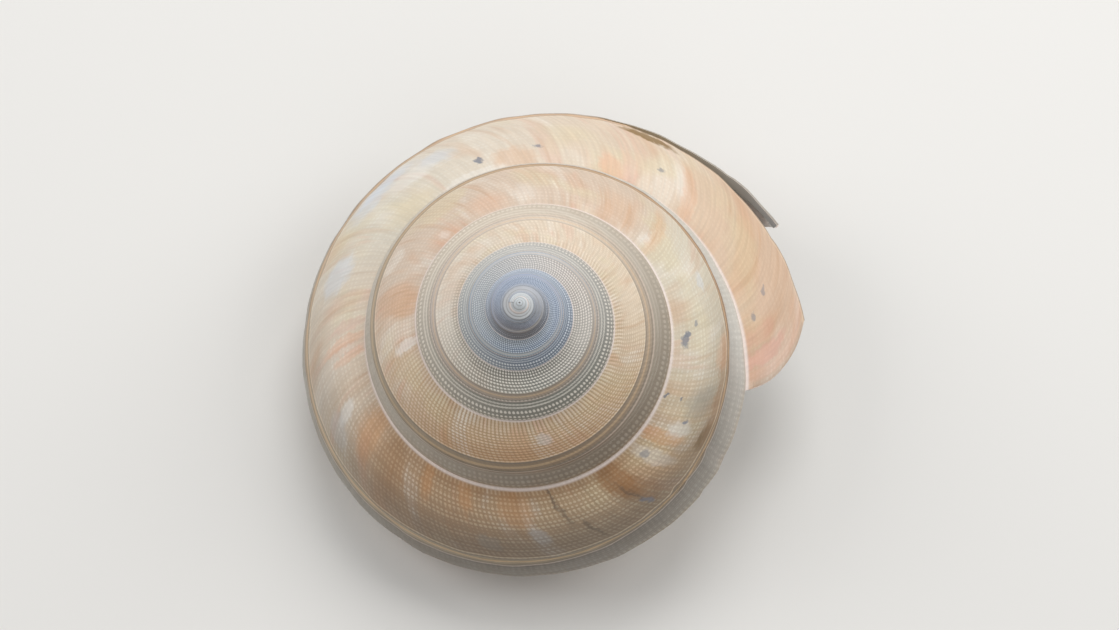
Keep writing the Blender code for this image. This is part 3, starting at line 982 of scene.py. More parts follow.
@dataclass
class Tree:
    """A material's nodes, and the "growth" map that they are read off.

    The map holds the growth line's station, and the distance from the seam.
    """

    name: str
    material: Material = field(init=False)
    growth: Socket = field(init=False)
    station: Socket = field(init=False)
    across: Socket = field(init=False)

    def __post_init__(self) -> None:
        """Start the material and read the map."""
        self.material = bpy.data.materials.new(self.name)
        self.material.use_nodes = True
        self.growth = self.add(Node.GROWTH)
        self.station = self.add(Node.SPLIT, self.growth)
        self.across = self.station.node.outputs[1]

    def fill(self, node: bpy.types.Node, inputs: dict[int | str, object]) -> None:
        """Give a node's inputs their values, colours and links."""
        for place, value in inputs.items():
            if isinstance(value, Socket):
                self.material.node_tree.links.new(value, node.inputs[place])
            else:
                value = linear(value) if isinstance(value, str) else value
                node.inputs[place].default_value = value

    def add(self, kind: Node, *inputs: object, stops: Stops = ()) -> Socket:
        """Add a node with its settings, its values and its links.

        Args:
            kind: The kind of node.
            inputs: Value, hex colour or linked socket for each of its inputs in turn.
            stops: Places and colours of a colour ramp's stops.

        Returns:
            The node's output.
        """
        name, settings, places, out = kind.value
        node = self.material.node_tree.nodes.new(f"ShaderNode{name}")
        for setting, value in settings.items():
            setattr(node, setting, value)
        self.fill(node, dict(zip(places, inputs)))
        for place, _ in stops[2:]:
            node.color_ramp.elements.new(place)
        for element, (place, colour) in zip(node.color_ramp.elements if stops else (), stops):
            element.position = place
            element.color = linear(colour)
        return node.outputs[out]

    def fold(self, kind: Node, value: Socket, *others: Socket) -> Socket:
        """Take more values into one, each with a node of the same kind."""
        for other in others:
            value = self.add(kind, value, other)
        return value

    def noise(
        self, scale: tuple[float, float], shift: float, detail: float, distortion: float = 0.0
    ) -> Socket:
        """Noise over the growth map.

        Args:
            scale: Grains per whorl along the coil, and per seam radius across it.
            shift: Moves the pattern, so that no two are alike.
            detail: Octaves of the noise.
            distortion: How far the grains are bent.

        Returns:
            The noise, around a half.
        """
        place = self.add(Node.MOVED, self.growth, (*scale, 1.0), (shift, shift, shift))
        return self.add(Node.NOISE, place, 1.0, detail, distortion)

    def away(self, centre: float) -> Socket:
        """How far a point is from a line at that distance from the seam."""
        return self.add(Node.ABSOLUTE, self.add(Node.LESS, self.across, centre))

    def finish(self, height: Socket, depth: float, inputs: dict[str, object]) -> Material:
        """Give the shader its relief and its other inputs, and hand on the material."""
        bump = self.add(Node.BUMP, height, depth, 1.0)
        self.fill(self.material.node_tree.nodes["Principled BSDF"], {**inputs, "Normal": bump})
        return self.material


@dataclass(frozen=True)
class Plain:
    """Uncoated card for the stage: matt, one pale colour."""

    name: str = "matt_card"
    colour: str = "#dedcd8"
    roughness: float = 0.9

    def make(self) -> Material:
        """Make the material."""
        material = bpy.data.materials.new(self.name)
        material.use_nodes = True
        shader = material.node_tree.nodes["Principled BSDF"]
        shader.inputs["Base Color"].default_value = linear(self.colour)
        shader.inputs["Roughness"].default_value = self.roughness
        return material


@dataclass(frozen=True)
class Mark:
    """A stain, pit, worn patch or patch of painted shade on the outer layer.

    Its reach is in whorls along the coil and in rows across it, from the middle to the rim.
    """

    station: float
    row: float
    along: float
    across: float
    colour: str
    strength: float = 0.8
    soft: float = 0.7


class Tint(str, Enum):
    """Colours of the stains, worn patches and painted shade."""

    CHALK = "#e9e6e0"
    BLUISH = "#cdd3da"
    SLATE = "#6f7683"
    ORANGE = "#cf9560"
    YELLOW = "#dcc38a"
    PEACH = "#dfa27a"
    PINK = "#d9a091"
    BROWN = "#96683a"
    TAN = "#b08a66"
    OLIVE = "#8a6c3e"
    GREY = "#a7a49a"
    UMBER = "#5d5145"
    # Painted shade for the shadowed front of the last whorl.
    PAINTED_SHADE = "#615a52"


MARKS = tuple(Mark(*values) for values in (
    # Bluish and chalky worn patches, on the quarter behind the spire's left.
    (-0.478, 1.75, 0.016, 0.55, Tint.BLUISH, 0.51),
    (-0.420, 2.35, 0.020, 0.40, Tint.BLUISH, 0.48),
    (-0.385, 1.75, 0.018, 0.40, Tint.CHALK, 0.41),
    (-0.362, 1.95, 0.012, 0.40, Tint.BLUISH, 0.50, 1.2),
    (-0.590, 1.45, 0.006, 0.45, Tint.CHALK, 0.51),
    (-0.600, 2.20, 0.012, 0.45, Tint.BLUISH, 0.24),
    (-0.450, 2.60, 0.020, 0.45, Tint.YELLOW, 0.22, 1.2),
    (-0.404, 2.70, 0.024, 0.50, Tint.BLUISH, 0.70, 1.2),
    (-0.400, 0.60, 0.022, 0.50, Tint.YELLOW, 0.26, 1.3),
    (-0.302, 0.55, 0.018, 0.50, Tint.ORANGE, 0.32),
    (-0.340, 0.25, 0.030, 0.22, Tint.CHALK, 0.34),
    # Peach and pink growth flames before the lip.
    (-0.532, 0.90, 0.005, 0.95, Tint.PEACH, 0.33),
    (-0.545, 0.75, 0.004, 0.75, Tint.PEACH, 0.30),
    (-0.518, 0.80, 0.005, 0.80, Tint.PINK, 0.24),
    (-0.222, 0.45, 0.010, 0.70, Tint.PEACH, 0.36),
    (-0.207, 0.60, 0.006, 0.90, Tint.PINK, 0.18),
    (-0.173, 1.35, 0.005, 0.60, Tint.CHALK, 0.28, 1.2),
    (-0.160, 1.00, 0.007, 1.20, Tint.PEACH, 0.25),
    (-0.030, 0.80, 0.006, 1.00, Tint.PINK, 0.45),
    (-0.044, 0.70, 0.006, 0.60, Tint.PINK, 0.24),
    # Orange and brown flames on the front of the last whorl.
    (-0.616, 1.00, 0.012, 1.10, Tint.ORANGE, 0.42, 1.0),
    (-0.650, 1.30, 0.016, 1.10, Tint.BROWN, 0.28),
    (-0.682, 0.60, 0.006, 0.60, Tint.ORANGE, 0.40, 1.1),
    (-0.720, 0.60, 0.007, 0.60, Tint.ORANGE, 0.40, 1.1),
    (-0.768, 0.80, 0.016, 0.70, Tint.ORANGE, 0.30),
    (-0.866, 0.85, 0.014, 1.00, Tint.BROWN, 0.70),
    # Painted shade: darker brown near the seam on the front of the last whorl.
    (-0.790, 0.10, 0.140, 0.60, Tint.BROWN, 0.38, 1.5),
    (-0.880, 1.70, 0.012, 0.80, Tint.BROWN, 0.50),
    (-0.924, 0.80, 0.008, 1.10, Tint.ORANGE, 0.45),
    (-0.906, 1.05, 0.008, 0.90, Tint.CHALK, 0.29),
    (-0.941, 1.35, 0.009, 0.45, Tint.CHALK, 0.41),
    (-0.972, 1.80, 0.014, 0.60, Tint.GREY, 0.55, 1.2),
    (-0.950, 2.75, 0.013, 0.42, Tint.OLIVE, 0.90, 0.9),
    (-0.990, 2.80, 0.050, 0.32, Tint.TAN, 0.60, 1.0),
    (-0.750, 2.25, 0.009, 0.35, Tint.GREY, 0.38),
    (-0.790, 1.90, 0.007, 0.40, Tint.BLUISH, 0.28),
    # Painted shade: darker patches on the front of the last two whorls beside the band, and on the
    # side of the nucleus turned away from the key light.
    (-0.790, 2.75, 0.210, 1.60, Tint.PAINTED_SHADE, 0.65, 1.6),
    (-1.780, 2.60, 0.140, 0.90, Tint.BROWN, 0.40, 1.6),
    (-4.770, 3.90, 0.180, 3.30, Tint.UMBER, 0.60, 1.5),
    # Growth breaks, dark where dirt sits in them.
    (-0.803, 0.55, 0.0016, 0.60, Tint.UMBER, 0.60, 1.3),
    (-0.812, 1.20, 0.0018, 0.50, Tint.UMBER, 0.48, 1.3),
    (-0.832, 2.10, 0.0022, 0.55, Tint.UMBER, 0.52, 1.3),
    (-0.872, 1.60, 0.0018, 0.60, Tint.UMBER, 0.52, 1.3),
    (-0.880, 2.25, 0.0030, 0.25, Tint.SLATE, 0.55, 0.9),
    # The slit's closed end, where the band has flaked.
    (-0.212, 2.72, 0.019, 0.26, Tint.OLIVE, 0.95, 0.5),
    # The whorl before the last.
    (-1.400, 0.40, 0.024, 0.60, Tint.PEACH, 0.26, 1.4),
    (-1.335, 0.75, 0.020, 0.55, Tint.PEACH, 0.26, 1.4),
    (-1.290, 1.00, 0.010, 0.40, Tint.CHALK, 0.22, 1.2),
    (-1.400, 0.55, 0.006, 0.25, Tint.CHALK, 0.30, 1.2),
    (-1.500, 0.80, 0.020, 0.80, Tint.ORANGE, 0.20, 1.3),
    (-1.558, 0.80, 0.007, 0.80, Tint.CHALK, 0.51),
    (-1.810, 1.55, 0.010, 0.45, Tint.BLUISH, 0.28),
    (-1.185, 1.00, 0.022, 0.80, Tint.ORANGE, 0.22, 1.3),
    (-1.140, 1.30, 0.007, 1.30, Tint.ORANGE, 0.32, 1.2),
    (-1.142, 0.65, 0.006, 0.25, Tint.CHALK, 0.20, 1.2),
    (-1.022, 2.80, 0.014, 0.80, Tint.PEACH, 0.25),
    # Pits.
    (-0.332, 0.85, 0.0042, 0.13, Tint.SLATE, 0.80),
    (-0.283, 0.95, 0.0032, 0.10, Tint.SLATE, 0.70),
    (-0.190, 1.25, 0.0028, 0.10, Tint.SLATE, 0.55),
    (-0.076, 1.30, 0.0024, 0.10, Tint.SLATE, 0.50),
    (-0.057, 0.60, 0.0028, 0.10, Tint.SLATE, 0.55),
    (-1.022, 0.60, 0.0070, 0.16, Tint.SLATE, 0.75),
    (-1.030, 0.75, 0.0040, 0.12, Tint.SLATE, 0.80),
    (-1.042, 1.20, 0.0030, 0.11, Tint.SLATE, 0.60),
    (-0.962, 0.32, 0.0022, 0.07, Tint.SLATE, 0.80),
    (-0.966, 0.80, 0.0018, 0.07, Tint.SLATE, 0.70),
    (-0.950, 1.50, 0.0024, 0.09, Tint.SLATE, 0.75),
    (-0.902, 0.80, 0.0060, 0.14, Tint.SLATE, 0.50),
    (-1.082, 1.95, 0.0080, 0.20, Tint.BLUISH, 0.37),
))


@dataclass(frozen=True)
class PorcelainLayer:
    """The outer layer: matt porcelain-like aragonite, laid down line by line at the lip.

    The pigment comes in flames along the growth lines; the crowns of the beads are worn pale and
    the gaps between them keep their colour.  It is read off two maps: "growth" holds the growth
    line's station and the distance from the seam, and "sculpture" counts the beads and the cords.
    """

    sculpture: Sculpture
    name: str = "porcelain_layer"
    first: float = -6.6
    last: float = 0.4
    crowns: Stops = (
        (-6.5, "#cdd2d5"), (-5.75, "#c3c5c6"), (-5.4, "#b6b7ba"), (-4.95, "#b4b7bf"),
        (-4.85, "#c6cfdf"), (-4.05, "#c3cddb"), (-3.75, "#c6cfd8"), (-3.45, "#cdcfcf"),
        (-3.1, "#ddd5cd"), (-2.8, "#e2ddd3"), (-2.5, "#dbd1c3"), (-2.25, "#dccdb9"),
        (-2.0, "#dac8b0"), (-1.7, "#d6bfa3"), (-1.45, "#d2c1b0"), (-1.15, "#d2bfac"),
        (-1.10, "#d6cfbd"), (-0.97, "#d6cbb6"), (-0.91, "#d1bc9d"), (-0.78, "#ceb899"),
        (-0.62, "#caac8c"), (-0.595, "#d6c8b5"), (-0.52, "#d7c6b2"), (-0.42, "#d8d2c4"),
        (-0.28, "#d7cbbb"), (-0.17, "#d7c3ac"), (-0.11, "#d3b99f"), (0.02, "#d0b096"),
    )
    gaps: Stops = (
        (-6.5, "#cdd1d3"), (-5.75, "#a3a39e"), (-4.95, "#70747c"), (-4.85, "#4c5670"),
        (-4.05, "#465670"), (-3.75, "#526580"), (-3.45, "#6f7882"), (-3.1, "#8c827a"),
        (-2.8, "#74766e"), (-2.5, "#a4917a"), (-2.0, "#b09471"), (-1.6, "#a98763"),
        (-1.2, "#b29272"), (-1.0, "#b49b76"), (-0.85, "#916d48"), (-0.65, "#936a44"),
        (-0.55, "#b29374"), (-0.4, "#c2b093"), (-0.2, "#c5a98b"), (0.0, "#be9576"),
    )
    # The dark stop at -1.8, on the front of that whorl, is painted shade.
    bands: Stops = (
        (-4.9, "#a09f96"), (-4.6, "#93a3bd"), (-4.1, "#9dabc2"), (-3.75, "#b4c8d6"),
        (-3.5, "#a6b3c0"), (-3.2, "#babcbe"), (-2.8, "#b29f8a"), (-2.5, "#c6b9ae"),
        (-2.2, "#d2c3b1"), (-1.8, "#8f7557"), (-1.5, "#b3a48e"), (-1.0, "#b89474"),
        (-0.8, "#a4937a"), (-0.55, "#c2b097"), (-0.3, "#c4a78d"), (0.0, "#dab899"),
    )
    # The dark stops at -1.8 and -0.8, on the front of those whorls, are painted shade.
    under_crowns: Stops = (
        (-4.9, "#c6ccd6"), (-3.9, "#d8dee4"), (-3.4, "#e4e0d6"), (-2.3, "#e4dacb"),
        (-1.8, "#857a6b"), (-1.25, "#cdc6ba"), (-1.03, "#d9d5cd"), (-0.97, "#dcd9d3"),
        (-0.90, "#b9b6b0"), (-0.8, "#99948b"),
    )
    under_back: Stops = (
        (-4.9, "#8a92a2"), (-3.9, "#9aa4b0"), (-3.4, "#a9aaa8"), (-2.3, "#c2b5a3"),
        (-1.8, "#c0b9ab"), (-1.25, "#c0b9ab"), (-1.1, "#bdbab0"),
    )
    # Painted shade: darker, shaded copies of the colours just above, used on the front of each
    # whorl.
    under_front_shade: Stops = (
        (-4.9, "#474b54"), (-3.8, "#435266"), (-3.4, "#545f68"), (-2.8, "#53554b"),
        (-1.8, "#43392f"), (-1.25, "#807b72"), (-1.03, "#b5b1a8"), (-0.97, "#bdbab3"),
        (-0.90, "#85827d"), (-0.8, "#66635f"),
    )
    bead_height: float = 0.075
    line_height: float = 0.016

    def _along(self, tree: Tree, stops: Stops) -> Socket:
        """Colour that changes along the coil, from stops given at stations."""
        span = self.last - self.first
        inside = tuple(((place - self.first) / span, colour) for place, colour in stops)
        share = tree.add(Node.RANGE, tree.station, self.first, self.last)
        return tree.add(Node.RAMP, share, stops=inside)

    def _patches(
        self, tree: Tree, scale: tuple[float, float], limits: tuple[float, float], shift: float,
        full: float = 1.0, detail: float = 3.0,
    ) -> Socket:
        """Patches with soft rims, stretched along the growth lines.

        Args:
            tree: The material's nodes.
            scale: Patches per whorl along the coil, and per seam radius across it.
            limits: Noise values at which a patch begins and is full.
            shift: Moves the pattern, so that no two are alike.
            full: Strength of a full patch.
            detail: Octaves of the noise.

        Returns:
            The patches' strength.
        """
        return tree.add(Node.SMOOTH, tree.noise(scale, shift, detail, 0.35), *limits, 0.0, full)

    def _wave(self, tree: Tree, angle: Socket, half: float) -> Socket:
        """A wave between 0 and 1 that is high at full turns, or low where its half is negative."""
        return tree.add(Node.TIMES_PLUS, tree.add(Node.COSINE, angle), half, 0.5)

    def _front(self, tree: Tree) -> Socket:
        """1 on the front of each whorl, the side turned away from the key light, where the beads
        are strong and the colours carry painted shade, and 0 behind the spire.
        """
        turned = TURN * self.sculpture.front_station
        return self._wave(tree, tree.add(Node.TIMES_PLUS, tree.station, TURN, turned), 0.5)

    def _strength(self, tree: Tree, front: Socket) -> Socket:
        """How strongly the beads stand out, from 0 to 1."""
        strong = tree.add(Node.SMOOTH, front, 0.40, 1.0, 0.08, 0.8)
        early = tree.add(Node.SMOOTH, tree.station, -2.7, -3.1, 0.0, 0.65)
        near_seam = tree.add(Node.SMOOTH, tree.across, 0.27, 0.10, 0.0, 0.75)
        third = tree.add(Node.SMOOTH, tree.station, -1.75, -2.05)
        turned = tree.add(Node.RANGE, front, 0.0, 1.0, 0.3)
        near_seam = tree.fold(Node.TIMES, near_seam, third, turned)
        strong = tree.fold(Node.LARGER, strong, early, near_seam)
        last = tree.add(Node.SMOOTH, tree.station, -2.0, -0.95, 1.0, 0.6)
        late = tree.add(Node.SMOOTH, tree.station, -0.62, -0.50, 1.0, 0.5)
        nucleus = tree.add(Node.SMOOTH, tree.station, -5.2, -4.9)
        return tree.fold(Node.TIMES, strong, last, late, nucleus)

    def _beads(self, tree: Tree) -> Socket:
        """Beads where growth ribs cross the cords: ribs near the seam, cords near the band."""
        bead = tree.add(Node.SPLIT, tree.add(Node.COUNTS))
        cord = bead.node.outputs[1]
        wander = self._patches(tree, (9.0, 3.0), (0.0, 1.0), 2.0, 1.0, 1.0)
        bead = tree.add(Node.SUM, bead, wander)
        rib, single, half, finer = (
            self._wave(tree, tree.add(Node.TIMES, count, TURN * times), -0.5)
            for count, times in ((bead, 1.0), (cord, 1.0), (cord, 0.5), (cord, 1.37))
        )
        above = tree.add(Node.SMOOTH, tree.station, -2.45, -1.95)
        below = tree.add(Node.SMOOTH, tree.station, -1.4, -1.1)
        side = tree.add(Node.ABOVE, cord, float(self.sculpture.shoulder_cords) + 0.5)
        ridge = tree.add(Node.BLEND, tree.add(Node.BLEND, side, above, below), half, single)
        along = tree.add(Node.SMOOTH, tree.station, -1.7, -1.0, 0.0, 0.52)
        ridge = tree.add(Node.BLEND, along, ridge, finer)
        place = tree.add(Node.JOIN, tree.station, cord)
        uneven = tree.add(Node.RANGE, tree.add(Node.NOISE, place, 0.83, 1.0), 0.3, 0.6, 0.45)
        ridge = tree.add(Node.TIMES, ridge, uneven)
        crossed = tree.add(Node.TIMES, rib, ridge)
        beaded = tree.add(Node.RANGE, tree.station, -1.9, -2.6, 0.5, 0.85)
        ribbed = tree.add(Node.BLEND, beaded, rib, crossed)
        corded = tree.add(Node.BLEND, 0.8, ridge, crossed)
        near_seam = tree.add(Node.SMOOTH, tree.across, 0.24, 0.12)
        early = tree.add(Node.SMOOTH, tree.station, -1.2, -1.8)
        return tree.add(Node.BLEND, tree.add(Node.TIMES, near_seam, early), corded, ribbed)

    def _flames(self, tree: Tree, colour: Socket) -> Socket:
        """Pigment flames and worn streaks over a colour, on the last three whorls."""
        grown = tree.add(Node.SMOOTH, tree.station, -2.9, -2.0)
        # Orange, chalk, pink, yellow and brown: long streaks, as the lip laid them down.
        for scale, limits, shift, full, tint in (
            ((19.0, 1.2), (0.52, 0.66), 1.3, 0.34, "#cc8f5e"),
            ((27.0, 1.6), (0.52, 0.66), 4.1, 0.45, "#e9e3d8"),
            ((42.0, 1.2), (0.58, 0.68), 7.7, 0.26, "#d69d86"),
            ((13.0, 1.9), (0.55, 0.68), 9.2, 0.40, "#d8cca8"),
            ((85.0, 1.5), (0.56, 0.70), 5.6, 0.26, "#bd8c60"),
        ):
            patch = self._patches(tree, scale, limits, shift, full)
            colour = tree.add(Node.PAINT, tree.add(Node.TIMES, patch, grown), colour, tint)
        return colour

    def _band(self, tree: Tree, front: Socket, colour: Socket) -> Socket:
        """The smooth slit band with its pale thread and dark edges, over a colour, with painted
        shade on the front of each whorl.
        """
        top, foot = self.sculpture.band_edges()
        middle = 0.5 * (top + foot)
        # Painted shade: the band is darkened towards #7d7264 on the front of each whorl.
        painted_front_shade = tree.add(Node.TIMES, front, 0.45)
        band = tree.add(Node.PAINT, painted_front_shade, self._along(tree, self.bands), "#7d7264")
        groove = tree.add(Node.RANGE, front, 0.0, 1.0, 0.25, 0.5)
        thread = tree.add(Node.RANGE, tree.station, -1.4, -1.0, 0.3, 0.45)
        begun = tree.add(Node.SMOOTH, tree.station, -5.1, -4.7)
        # The band itself, the dark lines of its two grooves with painted shade that doubles them on
        # the front, its thread and the pale lines inside the grooves.
        for centre, reach, soft, tint, full in (
            (middle, 0.5 * (foot - top) + 0.004, 0.006, band, 1.0),
            (top, 0.007, 0.006, "#6f6a62", groove),
            (foot, 0.007, 0.006, "#6f6a62", groove),
            (middle, 0.007, 0.005, "#e3bf94", thread),
            (top - 0.014, 0.006, 0.006, "#e0cdb2", 0.32),
            (foot + 0.014, 0.006, 0.006, "#e3cdbd", 0.40),
        ):
            rims = (reach + 0.5 * soft, reach - 0.5 * soft)
            mask = tree.add(Node.SMOOTH, tree.away(centre), *rims, 0.0, full)
            colour = tree.add(Node.PAINT, tree.add(Node.TIMES, mask, begun), colour, tint)
        return colour

    def _marks(self, tree: Tree, colour: Socket) -> Socket:
        """The stains, pits, worn patches and patches of painted shade, with ragged rims, over a
        colour.
        """
        ragged = tree.noise((170.0, 22.0), 0.0, 3.0).node.outputs[1]
        ragged = tree.add(Node.VECTOR_LESS, ragged, (0.5, 0.5, 0.5))
        place = tree.add(Node.VECTOR_TIMES_PLUS, ragged, (0.012, 0.09, 0.0), tree.growth)
        for mark in MARKS:
            station, row = np.array(mark.station), np.array(mark.row)
            along = float(self.sculpture.grown(station, row))
            across = float(self.sculpture.across(row))
            top, foot = self.sculpture.across(row + np.array((-mark.across, mark.across)))
            scale = (1.0 / mark.along, 2.0 / float(foot - top), 0.0)
            shift = (-along * scale[0], -across * scale[1], 0.0)
            off = tree.add(Node.LENGTH, tree.add(Node.VECTOR_TIMES_PLUS, place, scale, shift))
            rims = (1.0 + 0.5 * mark.soft, 1.0 - 0.5 * mark.soft)
            mask = tree.add(Node.SMOOTH, off, *rims, 0.0, mark.strength)
            colour = tree.add(Node.PAINT, mask, colour, mark.colour.value)
        return colour

    def _upper(self, tree: Tree, front: Socket, strong: Socket, beads: Socket) -> Socket:
        """Colour between the seam and the band: worn crowns over darker gaps, with painted shade in
        the gaps on the front of the early whorls, strongest near the seam.
        """
        crowns = self._flames(tree, self._along(tree, self.crowns))
        # Painted shade: on the front of the whorls from -1.9 back, the gaps are darkened towards
        # #504f45, most near the seam.
        painted_front_shade = tree.add(Node.SMOOTH, tree.station, -1.9, -2.5, 0.0, 0.75)
        seam_side = tree.add(Node.SMOOTH, tree.across, 0.40, 0.15, 0.25)
        painted_front_shade = tree.fold(Node.TIMES, painted_front_shade, front, seam_side)
        gaps = tree.add(Node.PAINT, painted_front_shade, self._along(tree, self.gaps), "#504f45")
        cover = tree.add(Node.SMOOTH, beads, 0.04, 0.45)
        worn = tree.add(Node.TIMES_PLUS, strong, -0.85, 0.85)
        return tree.add(Node.PAINT, tree.add(Node.LARGER, cover, worn), gaps, crowns)

    def _under(self, tree: Tree, front: Socket, beads: Socket, colour: Socket) -> Socket:
        """Hatching of dark gaps and pale crossings below the band, over a colour; on the front of
        each whorl the gaps take a darker copy of their colour as painted shade.
        """
        foot, edge, seat = (float(way) for way in self.sculpture.across(np.array((4.0, 5.6, 7.6))))
        under = tree.add(Node.SMOOTH, tree.across, foot, foot + 0.01, 0.0, 0.85)
        base = tree.add(Node.SMOOTH, tree.across, edge, seat, 1.0, 0.3)
        under = tree.add(Node.TIMES, under, base)
        back, shade, light = (
            self._along(tree, stops)
            for stops in (self.under_back, self.under_front_shade, self.under_crowns)
        )
        # Painted shade: on the front of each whorl the gaps take the darker, shaded copy of their
        # colour.
        dark = tree.add(Node.PAINT, front, back, shade)
        crossing = tree.add(Node.SMOOTH, beads, 0.10, 0.55, 0.0, 0.85)
        worn = tree.add(Node.SMOOTH, tree.station, -2.3, -1.8, 0.15, 0.5)
        hatched = tree.add(Node.PAINT, tree.add(Node.LARGER, crossing, worn), dark, light)
        return tree.add(Node.PAINT, under, colour, hatched)

    def _nucleus(self, tree: Tree, colour: Socket) -> Socket:
        """Dark rings on the first whorl, and the dark peak, over a colour."""
        cords = tree.add(Node.SPLIT, tree.add(Node.COUNTS)).node.outputs[1]
        count = float(self.sculpture.cord(np.array(Row.SEAT)))
        rings = tree.add(Node.COSINE, tree.add(Node.TIMES, cords, TURN * 3.0 / count))
        rings = tree.add(Node.SMOOTH, rings, 0.1, 0.95, 0.0, 0.5)
        begun = tree.add(Node.SMOOTH, tree.station, -4.8, -5.1)
        colour = tree.add(Node.PAINT, tree.add(Node.TIMES, rings, begun), colour, "#86847f")
        peak = tree.add(Node.SMOOTH, tree.station, -7.30, -7.40, 0.0, 0.9)
        return tree.add(Node.PAINT, peak, colour, "#55534e")

    def make(self) -> Material:
        """Make the material."""
        tree = Tree(self.name)
        front = self._front(tree)
        strong, beads = self._strength(tree, front), self._beads(tree)
        colour = self._upper(tree, front, strong, beads)
        colour = self._marks(tree, self._under(tree, front, beads, colour))
        colour = self._band(tree, front, colour)
        seam = tree.add(Node.SMOOTH, tree.across, 0.042, 0.018, 0.0, 0.85)
        colour = self._nucleus(tree, tree.add(Node.PAINT, seam, colour, "#ecdfd8"))
        fine = self._patches(tree, (330.0, 5.0), (0.3, 0.7), 3.0, 1.0, 2.0)
        fine = tree.add(Node.RANGE, fine, 0.0, 1.0, 0.955, 1.045)
        rough = self._patches(tree, (40.0, 9.0), (0.3, 0.7), 8.0)
        raised = tree.add(Node.TIMES, tree.add(Node.TIMES, beads, strong), self.bead_height)
        lines = self._patches(tree, (260.0, 4.0), (0.25, 0.75), 5.0, 1.0, 2.0)
        height = tree.add(Node.TIMES_PLUS, lines, self.line_height, raised)
        return tree.finish(height, MM, {
            "Base Color": tree.add(Node.BRIGHTEN, fine, colour),
            "Roughness": tree.add(Node.RANGE, rough, 0.0, 1.0, 0.42, 0.60),
            "IOR": 1.53, "Specular IOR Level": 0.4,
        })


@dataclass(frozen=True)
class NacreLayer:
    """The inner layer: mother-of-pearl, smooth and softly glossy, with painted shade in khaki along
    the slit.
    """

    sculpture: Sculpture
    name: str = "nacre_layer"

    def make(self) -> Material:
        """Make the material."""
        tree = Tree(self.name)
        colour = "#d6cfc6"
        for scale, shift, tint in (
            ((9.0, 5.0), 1.0, "#dfc6c0"), ((13.0, 7.0), 6.0, "#c3d0c8"),
            ((5.0, 3.0), 3.0, "#ddd6b8"),
        ):
            mask = tree.add(Node.RANGE, tree.noise(scale, shift, 2.0), 0.45, 0.62, 0.0, 0.7)
            colour = tree.add(Node.PAINT, mask, colour, tint)
        # Painted shade: darker khaki on the inside along the slit band.
        off = tree.away(0.5 * sum(self.sculpture.band_edges()))
        slit_shade = tree.add(Node.RANGE, off, 0.16, 0.05, 0.0, 0.75)
        lines = tree.noise((120.0, 4.0), 0.0, 2.0)
        return tree.finish(lines, 0.02 * MM, {
            "Base Color": tree.add(Node.PAINT, slit_shade, colour, "#a08c6c"),
            "Roughness": tree.add(Node.RANGE, lines, 0.3, 0.7, 0.2, 0.32),
            "IOR": 1.6, "Coat Weight": 0.25, "Coat Roughness": 0.15,
        })


@dataclass(frozen=True)
class BrokenEdge:
    """The raw edge of the wall: chalky pink-white at the lip, and along the slit painted shade in
    khaki that turns grey towards the lip.
    """

    sculpture: Sculpture
    name: str = "raw_shell_edge"

    def make(self) -> Material:
        """Make the material."""
        tree = Tree(self.name)
        noise = tree.add(Node.NOISE, tree.growth, 90.0, 3.0)
        chalk = tree.add(Node.RAMP, noise, stops=((0.35, "#dcc3b4"), (0.65, "#efe3da")))
        share = tree.add(Node.RANGE, tree.station, -0.2, 0.0)
        khaki = ((0.0, "#a98555"), (0.45, "#a08c6a"), (1.0, "#9a9c9c"))
        slit = tree.add(Node.RAMP, share, stops=khaki)
        # Painted shade: the slit's edges take khaki, turning grey towards the lip.
        top, foot = self.sculpture.band_edges()
        reach = 0.5 * (foot - top)
        off = tree.away(0.5 * (top + foot))
        slit_shade = tree.add(Node.RANGE, off, reach + 0.006, reach + 0.001, 0.0, 0.9)
        return tree.finish(noise, 0.05 * MM, {
            "Base Color": tree.add(Node.PAINT, slit_shade, chalk, slit),
            "Roughness": tree.add(Node.RANGE, noise, 0.0, 1.0, 0.45, 0.75),
            "IOR": 1.53,
        })


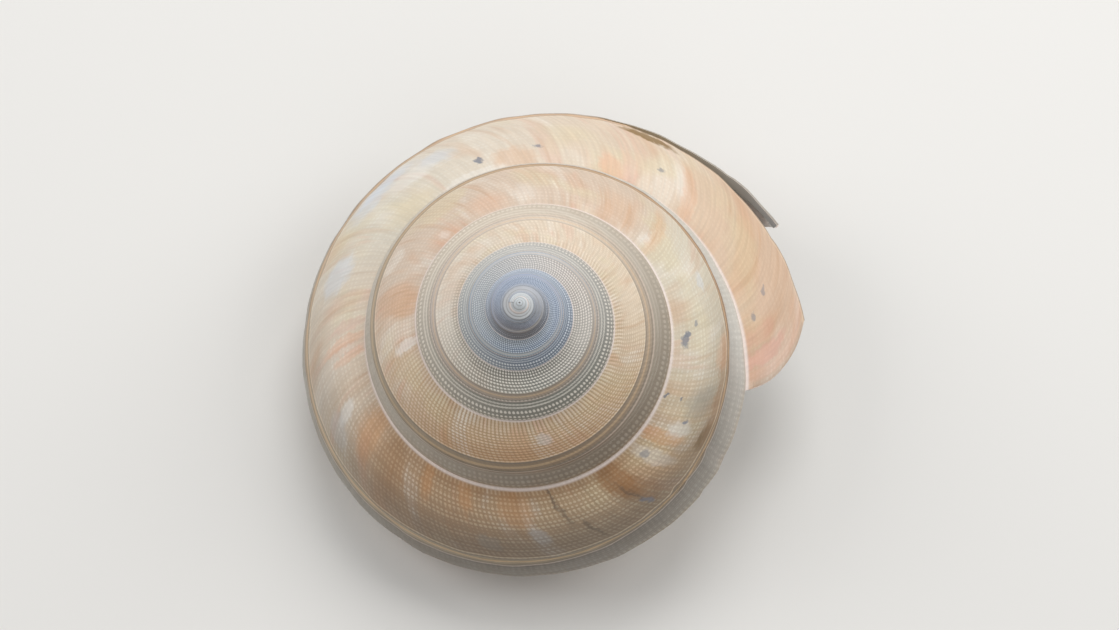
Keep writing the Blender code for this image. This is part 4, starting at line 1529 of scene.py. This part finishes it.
@dataclass
class Studio:
    """Plain floor, soft lights and the camera."""

    coil: Coil
    distance: float = 0.300
    field_of_view: float = math.radians(31.26)
    tip_left: float = 6.03 * MM
    tip_above: float = 1.92 * MM

    def build(self) -> None:
        """Set up the floor, the lights, the surroundings and the camera."""
        self.floor()
        self.lights()
        self.camera()

    def floor(self) -> None:
        """A wide pale floor."""
        bpy.ops.object.select_all(action="DESELECT")
        bpy.ops.mesh.primitive_plane_add(size=4.0, location=(0.0, 0.0, self.coil.low.z))
        floor = bpy.context.active_object
        floor.name = "studio_floor"
        floor.data.materials.append(Plain().make())

    def lights(self) -> None:
        """A large soft light from behind the spire and weak ones all round."""
        middle = (self.coil.low + self.coil.high) / 2.0
        for name, azimuth, height, reach, width, power in (
            ("key", 8.0, 56.0, 0.55, 0.34, 1.60),
            ("left", -80.0, 35.0, 0.6, 0.35, 1.12),
            ("right", 75.0, 40.0, 0.6, 0.35, 1.18),
            ("fill", 160.0, 40.0, 0.7, 0.5, 0.80),
        ):
            turn, tilt = math.radians(azimuth), math.radians(height)
            away = Vector((
                math.sin(turn) * math.cos(tilt), math.cos(turn) * math.cos(tilt), math.sin(tilt)
            ))
            bpy.ops.object.light_add(type="AREA", location=middle + reach * away)
            light = bpy.context.active_object
            light.name = f"studio_{name}"
            light.rotation_euler = away.to_track_quat("Z", "Y").to_euler()
            light.data.size = width
            light.data.energy = power
        world = bpy.data.worlds.new("studio_air")
        world.use_nodes = True
        air = world.node_tree.nodes["Background"]
        air.inputs["Color"].default_value = linear("#f2f4f7")
        air.inputs["Strength"].default_value = 0.35
        bpy.context.scene.world = world
        bpy.context.scene.view_settings.view_transform = "Standard"

    def camera(self) -> None:
        """The camera, high in front of the shell and looking down its spire."""
        look = Vector((0.0, 0.4526, -0.8917)).normalized()
        up = Vector((-0.0481, 0.8907, 0.4520))
        right = look.cross(up).normalized()
        up = right.cross(look)
        tip = Vector(self.coil.place(np.zeros(1), np.zeros((1, 2)))[0])
        place = tip + right * self.tip_left - up * self.tip_above - look * self.distance
        turned = Matrix((right, up, -look)).transposed()
        bpy.ops.object.camera_add(location=place, rotation=turned.to_euler())
        camera = bpy.context.active_object
        camera.name = "studio_camera"
        camera.data.angle = self.field_of_view
        camera.data.clip_start = 0.01
        bpy.context.scene.camera = camera


def main() -> None:
    """Build the shell and its stage."""
    logging.basicConfig(level=logging.INFO, format="%(name)s: %(message)s")
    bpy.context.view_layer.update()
    coil = Coil(*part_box("shell"))
    sculpture = Sculpture(coil)
    finishes = [
        PorcelainLayer(sculpture).make(), NacreLayer(sculpture).make(),
        BrokenEdge(sculpture).make(),
    ]
    wall = ShellWall(coil, sculpture, finishes=finishes)
    shell = wall.build()
    log.info("%s: %d faces", shell.name, len(shell.data.polygons))
    Studio(coil).build()


if __name__ == "__main__":
    main()
